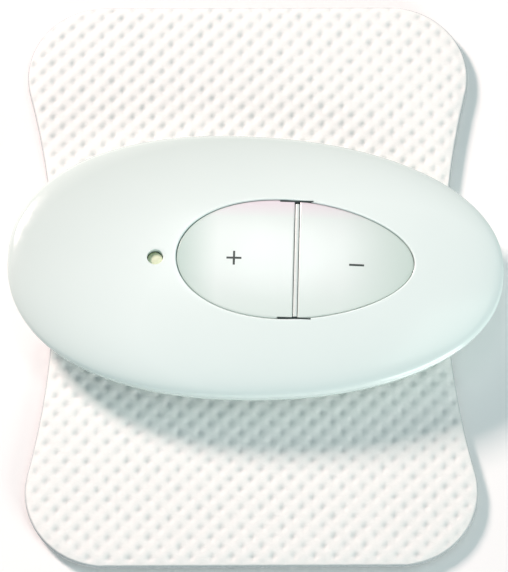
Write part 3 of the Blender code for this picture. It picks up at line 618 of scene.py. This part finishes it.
def cloth_relief(points):
    """Return (height, greyness) of the embossed cloth at flat points; the dots' greyness is partly
    crushed fibres and partly painted shade.
    """
    across = np.array([0.9990, 0.0431])
    up = np.array([-0.0457, 0.9990])
    grid = np.linalg.inv(np.stack([across, up], 1) * DOT_PITCH)
    cell = (points - np.array([0.363, -0.221])) @ grid.T
    s, t = (cell[..., 0] + cell[..., 1]) / 2, (cell[..., 0] - cell[..., 1]) / 2
    column, row = np.round(s), np.round(t)
    chance = scatter(column, row, 12.9898, 78.233, 43758.5453)
    other = scatter(column, row, 39.346, 11.135, 24634.6345)
    third = scatter(column, row, 7.713, 51.77, 9463.117)
    ds, dt = s - column + 0.06 * (chance - 0.5), t - row + 0.06 * (third - 0.5)
    across_mm = (ds + dt) * DOT_PITCH / (0.58 + 0.16 * (other - 0.5))
    along_mm = (ds - dt) * DOT_PITCH / (0.72 + 0.16 * (third - 0.5))
    away = (np.abs(across_mm) ** 1.5 + np.abs(along_mm) ** 1.5) ** (1 / 1.5)
    dot = np.exp(-away ** 2.0)
    pillow = (np.sin(math.pi * s) ** 2 + np.sin(math.pi * t) ** 2) / 2
    height = 0.10 * pillow - DOT_DEPTH * (0.75 + 0.5 * chance) * dot
    return height, dot * (0.6 + 0.4 * chance)


def grid_border(values):
    """Return the border of a grid of points, counter-clockwise from its first corner."""
    return np.concatenate([values[0, :], values[1:, -1], values[-1, -2::-1], values[-2:0:-1, 0]])


def cloth_grid(inset):
    """Return the cloth's rows, its half width at each, and a grid of points, finer at its edge."""
    middle = np.linspace(-0.988, 0.988, 268)
    edge = np.array([0.9905, 0.9925, 0.9945, 0.9962, 0.9976, 0.9987, 0.9995, 1.0])
    columns = np.concatenate([-edge[::-1], middle, edge])
    rows = pad_rows(inset, 0.29)
    half = pad_half_width(rows, inset)
    grid = np.stack([half[:, None] * columns[None, :],
                     np.repeat(rows[:, None], len(columns), 1)], -1)
    return rows, half, grid


def cut_snap_hole(piece, side):
    """Cut the hole that a snap stud's eyelet passes through."""
    hole = circle(SNAP_HOLE_RADIUS, (side * SNAP_X, 0.0), 40)
    combine(piece, prism("hole", hole, 0.9, 3.0))


def make_cloth(material):
    """Make the hourglass sheet of cloth with its embossed dots and its soft cut edge, darkened by
    painted shade.
    """
    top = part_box("backing_cloth")[1].z / MM
    rows, half, local = cloth_grid(0.0)
    flat = turn_pad(local)
    height, pressed_and_shade = cloth_relief(flat)
    slope = np.gradient(half, rows)
    from_side = (half[:, None] - np.abs(local[..., 0])) / np.sqrt(1 + slope[:, None] ** 2)
    from_end = (PAD_HALF_LENGTH - np.abs(rows))[:, None]
    from_edge = np.minimum(from_side, from_end)
    near = np.stack([np.hypot(flat[..., 0] - side * SNAP_X, flat[..., 1]) for side in (-1, 1)])
    fade = 1.2
    calm = np.clip((near.min(0) - 4.4) / fade, 0, 1)
    keep = np.clip(from_edge / fade, 0, 1) * calm
    droop = 0.25 * np.clip(1 - from_edge / 3.0, 0, 1) ** 2
    lip = np.clip(1 - from_edge / CUT_EDGE, 0, 1)
    z = top + height * keep - droop - 0.3 * (1 - np.sqrt(1 - lip ** 2))
    # The rounded lip of the cut edge takes painted shade.
    pressed_and_shade = np.maximum(pressed_and_shade * keep, 3.2 * lip)
    index = np.arange(z.size).reshape(z.shape)
    quads = np.stack([index[:-1, :-1], index[:-1, 1:], index[1:, 1:], index[1:, :-1]], -1)
    vertices = [np.column_stack([flat.reshape(-1, 2), z.ravel()])]
    faces = quads.reshape(-1, 4).tolist()
    upper = grid_border(index)
    total = z.size
    for inset, under_z in ((0.0, 1.0), (0.15, 0.9), (1.5, 1.15), (3.2, 1.4)):
        loop = grid_border(turn_pad(cloth_grid(inset)[2]))
        vertices.append(lift(loop, under_z))
        lower = total + np.arange(len(loop))
        total += len(loop)
        sides = np.stack([upper, lower, np.roll(lower, -1), np.roll(upper, -1)], -1)
        faces.extend(sides.tolist())
        upper = lower
    faces.append(upper.tolist())
    cloth = new_object("embossed_cloth", np.concatenate(vertices), faces)
    # Painted shade makes the cut edge darkest at its lip and its foot.
    attribute = cloth.data.attributes.new("pressed_and_shade", "FLOAT", "POINT")
    values = np.zeros(total, np.float32)
    values[:z.size] = pressed_and_shade.ravel()
    foot = z.size + len(grid_border(z))
    # The side wall of the cut edge takes painted shade as well.
    values[z.size:foot] = 2.2
    attribute.data.foreach_set("value", values)
    for _, side in SIDES:
        cut_snap_hole(cloth, side)
    dress(cloth, "pad", material, ["backing_cloth"], 60)


def make_layers(gel, carbon, film):
    """Make the gel, the carbon films and the release liner with soft edges."""
    liner = slab("liner_sheet", pad_loop(0.4), pad_loop(0.5), 0.0, 0.2, 0.05)
    dress(liner, "pad", film, ["release_liner"])
    for label, side in SIDES:
        body = slab(label + "_gel_layer", electrode_loop(side, 3.0), electrode_loop(side, 3.25),
                    0.3, 1.0, 0.2)
        combine(body, prism("pocket", circle(4.8, (side * SNAP_X, 0.0), 64), 0.6, 2.0))
        dress(body, "pad", gel, [label + "_hydrogel"])
        layer = prism(label + "_carbon_layer", electrode_loop(side, 4.0), 1.1, 1.3)
        cut_snap_hole(layer, side)
        dress(layer, "pad", carbon, [label + "_carbon_film"])


def make_studs(nickel):
    """Make the studs and their eyelets as smooth turned pieces."""
    for label, side in SIDES:
        centre = (side * SNAP_X, 0.0)
        outside = rounded([(1.3, 2.1), (4.0, 2.1), (4.0, 2.4), (1.75, 2.5), (1.55, 3.3),
                           (1.85, 3.9), (1.8, 4.5), (1.0, 4.9), (0.2, 4.9)], 0.25, 5)
        inside = [(0.2, 4.6), (1.3, 4.4)]
        stud = lathe(label + "_stud", outside + inside, centre, 72, True)
        dress(stud, "pad", nickel, [label + "_snap_stud"])
        section = rounded([(0.6, 4.2), (0.6, 0.7), (4.5, 0.7), (4.5, 1.0), (1.1, 1.0), (1.1, 4.1)],
                          0.12, 4)
        eyelet = lathe(label + "_eyelet", section, centre, 64, True)
        dress(eyelet, "pad", nickel, [label + "_stud_eyelet"])


# ---------------------------------------------------------------- pod
def make_top_cover(material):
    """Make the upper shell with a rounded lip round the keys and round the light."""
    angles = turns(SHELL_POINTS)
    lip = 0.22
    seam = RIM_Z + GAP / 2
    rim = pod_outline(angles)
    opening = key_oval(angles, OPENING_GROW + lip)
    rings = [lift(pod_outline(angles, inset=0.08), seam), lift(rim, seam + 0.06)]
    for turn in np.linspace(0.1, math.pi / 2, 80):
        t = 1 - math.cos(turn)
        ring = (1 - t) * rim + t * opening
        rings.append(lift(ring, dome_z(ring)))
    for turn in quarter_turn(5):
        ring = key_oval(angles, OPENING_GROW + lip * (1 - math.sin(turn)))
        rings.append(lift(ring, dome_z(ring) - lip * (1 - math.cos(turn))))
    inner_opening = key_oval(angles, OPENING_GROW)
    inner_rim = pod_outline(angles, inset=TOP_WALL)
    for turn in np.linspace(0.0, math.pi / 2 - 0.13, 20):
        t = math.sin(turn)
        ring = (1 - t) * inner_opening + t * inner_rim
        rings.append(lift(ring, dome_z(ring, TOP_WALL)))
    rings.append(lift(inner_rim, seam))
    shell = skin("top_cover", rings, True)
    for way in (-1, 1):
        notch = box_outline(3.0, 0.15, (KEY_CENTRE_X, way * 11.35))
        combine(shell, prism("notch", notch, RIM_Z, CUTTER_TOP))
    surface = surface_z(LED_X, LED_Y)
    flare = [(LED_HOLE_RADIUS, 9.0), (LED_HOLE_RADIUS, surface - LED_FLARE)]
    for turn in quarter_turn(5):
        flare.append((LED_HOLE_RADIUS + LED_FLARE * (1 - math.cos(turn)),
                      surface - LED_FLARE + LED_FLARE * math.sin(turn)))
    flare += [(2.0, surface + 0.06), (2.0, CUTTER_TOP)]
    combine(shell, lathe("flare", flare, (LED_X, LED_Y), 64))
    for place in four_corners(SCREW_X, SCREW_Y):
        combine(shell, prism("boss", circle(2.2, place, 32), 5.3, 10.6), "UNION")
        combine(shell, prism("pilot", circle(0.95, place, 24), 4.3, 9.4))
    dress(shell, "pod", material, ["top_shell"], 40)


def make_bottom_cover(material):
    """Make the lower shell with its lip, its snap and screw holes and its battery opening."""
    angles = turns(SHELL_POINTS)
    seam = RIM_Z - GAP / 2
    rings = [lift(pod_outline(angles, inset=0.12), seam), lift(pod_outline(angles), seam - 0.12)]
    for turn in quarter_turn(44):
        fraction = UNDERSIDE + (1 - UNDERSIDE) * math.cos(turn)
        z = RIM_Z - (RIM_Z - POD_BOTTOM) * math.sin(turn)
        rings.append(lift(pod_outline(angles, fraction), min(z, seam - 0.13)))
    rings.reverse()
    for inset, z in ((1.45, seam), (1.5, RIM_Z + 0.25), (1.9, RIM_Z + 0.25)):
        rings.append(lift(pod_outline(angles, inset=inset), z))
    for turn in quarter_turn(12, 0):
        fraction = UNDERSIDE + (1 - UNDERSIDE) * math.cos(turn)
        z = seam - (seam - POD_FLOOR) * math.sin(turn)
        rings.append(lift(pod_outline(angles, fraction, 2.0), z))
    shell = skin("bottom_cover", rings)
    well = [(2.15, CUTTER_BOTTOM), (2.15, POD_BOTTOM), (2.0, 3.15), (2.0, 4.1)]
    snap = [(3.9, CUTTER_BOTTOM), (3.9, POD_BOTTOM), (3.6, 3.3), (3.6, FLOOR_CUT_TOP)]
    opening = [(12.2, CUTTER_BOTTOM), (12.2, POD_BOTTOM), (12.0, 3.2), (12.0, FLOOR_CUT_TOP)]
    post = [(1.3, 3.9), (1.3, 8.2), (0.6, 8.2), (0.6, 9.4), (0.5, 9.5)]
    for sx in (-1, 1):
        for sy in (-1, 1):
            place = (sx * SCREW_X, sy * SCREW_Y)
            combine(shell, prism("seat", circle(2.6, place, 40), 3.9, 5.0), "UNION")
            combine(shell, lathe("well", well, place, 48))
            combine(shell, prism("shank", circle(1.1, place, 24), 3.5, 6.0))
        combine(shell, lathe("snap", snap, (sx * SNAP_X, 0.0), 72))
    for place in four_corners(22.0, 9.5):
        combine(shell, lathe("post", post, place, 32), "UNION")
    combine(shell, lathe("door", opening, count=120))
    for middle in (45, 165, 285):
        slot = wedge(middle, 15, 10.0, 13.7)
        combine(shell, prism("slot", slot, CUTTER_BOTTOM, FLOOR_CUT_TOP))
    dress(shell, "pod", material, ["bottom_shell"])


def make_key(label, side, material):
    """Make one pearl key with a rounded edge, a flange and a hollow underside."""
    lip = 0.15
    hollow_z, flange_bottom, flange_top = 11.0, 9.85, 10.2
    hollow = key_outline(side, -1.0, 1.0)
    flange = key_outline(side, 0.8, 0.2)
    rings = [lift(hollow, hollow_z), lift(hollow, flange_bottom), lift(flange, flange_bottom),
             lift(flange, flange_top), lift(key_outline(side, KEY_GROW), flange_top)]
    for turn in quarter_turn(5, 0):
        inset = lip * (1 - math.cos(turn))
        ring = key_outline(side, KEY_GROW - inset, inset)
        rings.append(lift(ring, key_top(ring) - lip * (1 - math.sin(turn))))
    crown = key_outline(side, KEY_GROW - lip, lip)
    middle = np.array([(crown[:, 0].max() + crown[:, 0].min()) / 2, 0.0])
    steps = 40
    for step in range(1, steps):
        ring = middle + (crown - middle) * (1 - step / steps)
        rings.append(lift(ring, key_top(ring)))
    key = skin(label + "_key_cap", rings)
    hinge_x = STRIP_X + side * HINGE_OFFSET
    nub = circle(1.2, (hinge_x + side * SWITCH_ARM, 0.0), 32)
    combine(key, prism("nub", nub, 10.9, 11.4), "UNION")
    for way in (-1, 1):
        pin = rod_along_y("pin", hinge_x, HINGE_Z, 0.4, way * 10.75, way * 13.3)
        combine(key, pin, "UNION")
        notch = box_outline(3.0, 0.2, (KEY_CENTRE_X, way * 11.3))
        combine(key, prism("notch", notch, 10.6, CUTTER_TOP))
    dress(key, label + "_key", material, [label + "_button"], 50)


def make_key_mark(label, place, upright, ink):
    """Print a plain plus or minus sign on a key, as a thin layer that follows its top."""
    half = MARK_HALF_WIDTH
    cells = []
    for reach in 2 * half * np.arange(-MARK_CELLS, MARK_CELLS + 1):
        cells.append((reach, 0.0))
        if upright and abs(reach) > half:
            cells.append((0.0, reach))
    bm = bmesh.new()
    known = {}
    for cx, cy in cells:
        corners = []
        for sx, sy in SQUARE:
            x, y = place[0] + cx + sx * half, place[1] + cy + sy * half
            spot = (round(x, 3), round(y, 3))
            if spot not in known:
                z = float(key_top(np.array([[x, y]]))[0]) + MARK_RISE
                known[spot] = bm.verts.new((x * MM, y * MM, z * MM))
            corners.append(known[spot])
        bm.faces.new(corners)
    made = bmesh.ops.extrude_face_region(bm, geom=list(bm.faces))
    for vertex in [g for g in made["geom"] if isinstance(g, bmesh.types.BMVert)]:
        vertex.co.z -= MARK_THICKNESS * MM
    bmesh.ops.recalc_face_normals(bm, faces=bm.faces)
    mesh = bpy.data.meshes.new(label + "_key_mark")
    bm.to_mesh(mesh)
    bm.free()
    mark = bpy.data.objects.new(label + "_key_mark", mesh)
    bpy.context.scene.collection.objects.link(mark)
    mark.data.materials.append(ink)
    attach(mark, label + "_key")


def make_bar(material):
    """Make the thin bar between the keys, on its hidden strip and ears."""
    strip_bottom, strip_top, ear_top = 9.2, 9.4, 10.6
    section = [(-BAR_HALF_WIDTH, -1.0), (BAR_HALF_WIDTH, -1.0)]
    for step in range(7):
        turn = math.pi * step / 6
        section.append((BAR_HALF_WIDTH * math.cos(turn), 0.12 * math.sin(turn) - 0.12))
    rings = []
    for y in np.linspace(-10.95, 10.75, 60):
        top = surface_z(BAR_X, y) - 0.1
        rings.append(np.array([(BAR_X + x, y, top + z if z > -0.9 else 9.3) for x, z in section]))
    bar = skin("centre_bar", rings)
    strip = box_outline(2.9, 13.4, (STRIP_X, 0.0))
    combine(bar, prism("strip", strip, strip_bottom, strip_top), "UNION")
    for way in (-1, 1):
        ear = box_outline(2.9, 0.5, (STRIP_X, way * 12.9))
        combine(bar, prism("ear", ear, strip_bottom, ear_top), "UNION")
        for side in (-1, 1):
            hole = rod_along_y("hole", STRIP_X + side * HINGE_OFFSET, HINGE_Z, 0.5,
                               way * 12.0, way * 13.8)
            combine(bar, hole)
    dress(bar, "pod", material, ["button_bar"], 40)


def make_notch_shade_strips(material):
    """Make the dark strip of painted shadow that closes the notch at each end of the bar."""
    for label, low, high in (("front", -11.42, -11.16), ("back", 11.16, 11.42)):
        rings = []
        for x in np.linspace(-2.86, 2.86, 14):
            top = surface_z(KEY_CENTRE_X + x, (low + high) / 2) - 0.2
            section = [(low, 10.7), (high, 10.7), (high, top - 0.08), (high - 0.08, top),
                       (low + 0.08, top), (low, top - 0.08)]
            rings.append(np.array([(KEY_CENTRE_X + x, y, z) for y, z in section]))
        cover = skin(label + "_notch_shade_strip", rings)
        dress(cover, "pod", material)


def make_light(lens):
    """Make the small light with its low domed lens."""
    outside = [(1.8, 9.2), (1.8, 9.7), (LED_RADIUS, 9.7), (LED_RADIUS, 11.05), (1.36, 11.12)]
    for turn in quarter_turn(9)[:-1]:
        outside.append((1.34 * math.cos(turn), 11.12 + 0.5 * math.sin(turn)))
    body = lathe("light_body", outside, (LED_X, LED_Y), 48)
    dress(body, "pod", lens, ["indicator_led"], 40)


def make_door(material):
    """Make the battery door with a coin slot and its bayonet tabs."""
    profile = [(11.3, 3.0), (11.6, 3.1), (11.7, 3.4), (11.7, 5.3), (10.7, 5.3), (10.7, 4.1)]
    door = lathe("battery_door_cap", profile, count=120)
    for middle in (90, 210, 330):
        combine(door, prism("tab", wedge(middle, 11, 11.2, 13.4), 4.7, 5.3), "UNION")
    slot = []
    for end, start in ((1, -math.pi / 2), (-1, math.pi / 2)):
        for turn in start + np.linspace(0, math.pi, 13):
            slot.append((end * 6.1 + 0.9 * math.cos(turn), 0.9 * math.sin(turn)))
    combine(door, prism("coin", np.array(slot), CUTTER_BOTTOM, 3.6))
    dress(door, "battery_door", material, ["battery_cover"])


def make_sockets(nickel, steel):
    """Make the snap sockets and their split rings."""
    for label, side in SIDES:
        centre = (side * SNAP_X, 0.0)
        cup = rounded([(0.3, 5.5), (0.3, 5.9), (2.9, 5.9), (2.9, 5.0), (5.2, 5.0), (5.2, 4.7),
                       (3.3, 4.7), (3.3, 3.3), (2.6, 3.3), (2.6, 5.5)], 0.2, 4)
        socket = lathe(label + "_socket", cup, centre, 72, True)
        dress(socket, "pod", nickel, [label + "_snap_socket"])
        rings = []
        for turn in np.linspace(math.radians(20), math.radians(340), 64):
            section = circle(0.16, (2.2, 3.9), 14)
            x = centre[0] + section[:, 0] * math.cos(turn)
            y = centre[1] + section[:, 0] * math.sin(turn)
            rings.append(np.stack([x, y, section[:, 1]], 1))
        spring = skin(label + "_split_ring", rings)
        dress(spring, "pod", steel, [label + "_ring_spring"])


def make_screws(steel):
    """Make the four case screws with rounded heads and cross recesses."""
    profile = [(1.1, 3.3), (1.5, 3.34), (1.66, 3.45), (1.7, 3.6), (1.7, 3.95), (0.8, 3.95),
               (0.8, 8.4), (0.3, 9.0)]
    for number, place in enumerate(four_corners(SCREW_X, SCREW_Y), 1):
        screw = lathe("pan_screw_" + str(number), profile, place, 48)
        for half_x, half_y in ((1.1, 0.22), (0.22, 1.1)):
            combine(screw, prism("arm", box_outline(half_x, half_y, place), 2.3, 3.65))
        dress(screw, "pod", steel, ["case_screw_" + str(number)])


# ---------------------------------------------------------------- surroundings
def make_floor():
    """Make the plain pale floor."""
    paint = Paint("floor_looks", (0.97, 0.97, 0.97), 0.9)
    paint.tint(paint.noise(120.0, 1.0), (0.97, 0.97, 0.97), (0.98, 0.98, 0.98))
    corners = lift(box_outline(FLOOR_HALF_SIZE, FLOOR_HALF_SIZE), FLOOR_Z)
    floor = new_object("floor", corners, [(0, 1, 2, 3)])
    floor.data.materials.append(paint.material)


def add_area(name, azimuth, elevation, distance, size, watts, colour=(1.0, 1.0, 1.0)):
    """Add a square light that faces the object; azimuth is counted from +X."""
    data = bpy.data.lights.new(name, "AREA")
    data.shape = "SQUARE"
    data.size = size
    data.energy = watts
    data.color = colour
    light = bpy.data.objects.new(name, data)
    a, e = math.radians(azimuth), math.radians(elevation)
    away = Vector((math.cos(a) * math.cos(e), math.sin(a) * math.cos(e), math.sin(e)))
    light.location = away * distance
    light.rotation_mode = "QUATERNION"
    light.rotation_quaternion = (-away).to_track_quat("-Z", "Y")
    bpy.context.scene.collection.objects.link(light)


def make_lights():
    """Light the scene: a key from the back left, soft fills and pale surroundings."""
    world = bpy.data.worlds.new("studio")
    bpy.context.scene.world = world
    world.use_nodes = True
    background = world.node_tree.nodes["Background"]
    background.inputs["Color"].default_value = (0.70, 0.93, 1.0, 1.0)
    background.inputs["Strength"].default_value = 0.30
    add_area("key_light", 137, 30, 0.8, 0.16, 7.9, (1.0, 0.80, 0.76))
    add_area("low_light", 312, 12, 1.0, 0.5, 6.3, (1.0, 1.0, 0.96))
    add_area("top_light", 0, 62, 1.0, 0.5, 1.2, (0.86, 1.0, 0.92))
    add_area("satin_light", 88, 66, 1.0, 0.2, 0.55)
    bpy.context.scene.view_settings.view_transform = "Standard"


def make_camera():
    """Put the camera where the photographer stood: high in front, with a long lens."""
    elevation = math.radians(CAMERA_ELEVATION)
    roll = math.radians(CAMERA_ROLL)
    toward = Vector((0.0, math.cos(elevation), -math.sin(elevation)))
    level = Vector((1.0, 0.0, 0.0))
    upright = Vector((0.0, math.sin(elevation), math.cos(elevation)))
    right = math.cos(roll) * level + math.sin(roll) * upright
    up = right.cross(toward)
    data = bpy.data.cameras.new("camera")
    data.sensor_width = 36.0
    data.lens = CAMERA_LENS
    data.shift_x, data.shift_y = CAMERA_SHIFT
    data.clip_start = 0.05
    data.clip_end = 20.0
    camera = bpy.data.objects.new("camera", data)
    camera.matrix_world = Matrix.Translation(-toward * CAMERA_DISTANCE) @ Matrix(
        (right, up, -toward)).transposed().to_4x4()
    bpy.context.scene.collection.objects.link(camera)
    bpy.context.scene.camera = camera


def dress_cad(names, material):
    """Give a procedural material to CAD nodes that are shown as they are."""
    for name in names:
        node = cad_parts[name]
        node.data.materials.clear()
        node.data.materials.append(material)


def main():
    """Build every visible piece, the surroundings and the camera."""
    # Each glossy plastic's first colour is the painted shade at its rim and back left, its second
    # the colour on top.
    housing = glossy_plastic("housing_white_looks", (0.69, 0.77, 0.75), (0.92, 0.995, 0.98), 0.16)
    under_housing = glossy_plastic("under_housing_looks", (0.88, 0.95, 0.935),
                                   (0.90, 0.97, 0.955), 0.2)
    door = satin_plastic("cover_white_looks", (0.78, 0.82, 0.80), (0.81, 0.85, 0.83), 0.42)
    bar = glossy_plastic("bar_white_looks", (0.80, 0.84, 0.82), (0.86, 0.90, 0.88), 0.25)
    pearl = pearl_plastic()
    nickel = metal("snap_nickel_looks", (0.74, 0.72, 0.68), (0.66, 0.64, 0.60), 0.2)
    steel = metal("can_steel_looks", (0.64, 0.64, 0.62), (0.56, 0.56, 0.55), 0.3)
    screw = metal("screw_steel_looks", (0.60, 0.61, 0.62), (0.50, 0.52, 0.54), 0.32)
    cell = metal("cell_steel_looks", (0.66, 0.66, 0.65), (0.60, 0.60, 0.59), 0.28, (1, 8, 1))
    bronze = metal("contact_bronze_looks", (0.62, 0.46, 0.26), (0.54, 0.38, 0.20), 0.3)
    ink = dull("key_ink", (0.045, 0.06, 0.055), (0.07, 0.085, 0.08), 0.5, 0.2, 0.004)
    # Dark strips of painted shadow fill the notches at the ends of the bar.
    notch_shade_dark = dull("notch_shade_looks", (0.035, 0.055, 0.055), (0.05, 0.07, 0.07), 0.45, 0.2, 0.004)
    carbon = dull("carbon_film_looks", (0.025, 0.025, 0.026), (0.04, 0.04, 0.041), 0.55, 0.2, 0.01)
    board = dull("board_green_looks", (0.02, 0.20, 0.09), (0.03, 0.25, 0.12), 0.4, 0.4, 0.01)
    chip = dull("chip_black_looks", (0.02, 0.02, 0.022), (0.035, 0.035, 0.037), 0.45, 0.1, 0.006)
    ferrite = dull("ferrite_looks", (0.09, 0.09, 0.10), (0.13, 0.13, 0.14), 0.6, 0.15, 0.01)
    amber = dull("capacitor_looks", (0.72, 0.46, 0.08), (0.78, 0.54, 0.12), 0.5, 0.2, 0.006)
    switch = dull("switch_black_looks", (0.025, 0.025, 0.026), (0.04, 0.04, 0.042), 0.5, 0.15,
                  0.006)
    black = dull("lead_black_looks", (0.018, 0.018, 0.02), (0.03, 0.03, 0.032), 0.5, 0.2, 0.006)
    red = dull("lead_red_looks", (0.50, 0.04, 0.035), (0.60, 0.06, 0.05), 0.5, 0.2, 0.006)
    make_cloth(cloth_weave())
    make_layers(clear_gel(), carbon, clear_film())
    make_studs(nickel)
    make_top_cover(housing)
    make_bottom_cover(under_housing)
    make_key("up", -1, pearl)
    make_key("down", 1, pearl)
    make_key_mark("up", (-3.9, -0.2), True, ink)
    make_key_mark("down", (17.9, -0.8), False, ink)
    make_bar(bar)
    make_notch_shade_strips(notch_shade_dark)
    make_light(light_lens())
    make_door(door)
    make_sockets(nickel, steel)
    make_screws(screw)
    dress_cad(["circuit_board"], board)
    dress_cad(["microcontroller", "output_driver"], chip)
    dress_cad(["boost_inductor"], ferrite)
    dress_cad(["storage_capacitor"], amber)
    dress_cad(["clock_crystal", "up_switch_cover", "down_switch_cover", "up_switch_dome",
               "down_switch_dome"], steel)
    dress_cad(["coin_cell"], cell)
    dress_cad(["battery_contact_positive", "battery_contact_negative"], bronze)
    dress_cad(["up_switch_base", "down_switch_base", "up_switch_plunger", "down_switch_plunger"],
              switch)
    dress_cad(["left_output_lead"], black)
    dress_cad(["right_output_lead"], red)
    make_floor()
    make_lights()
    make_camera()


main()
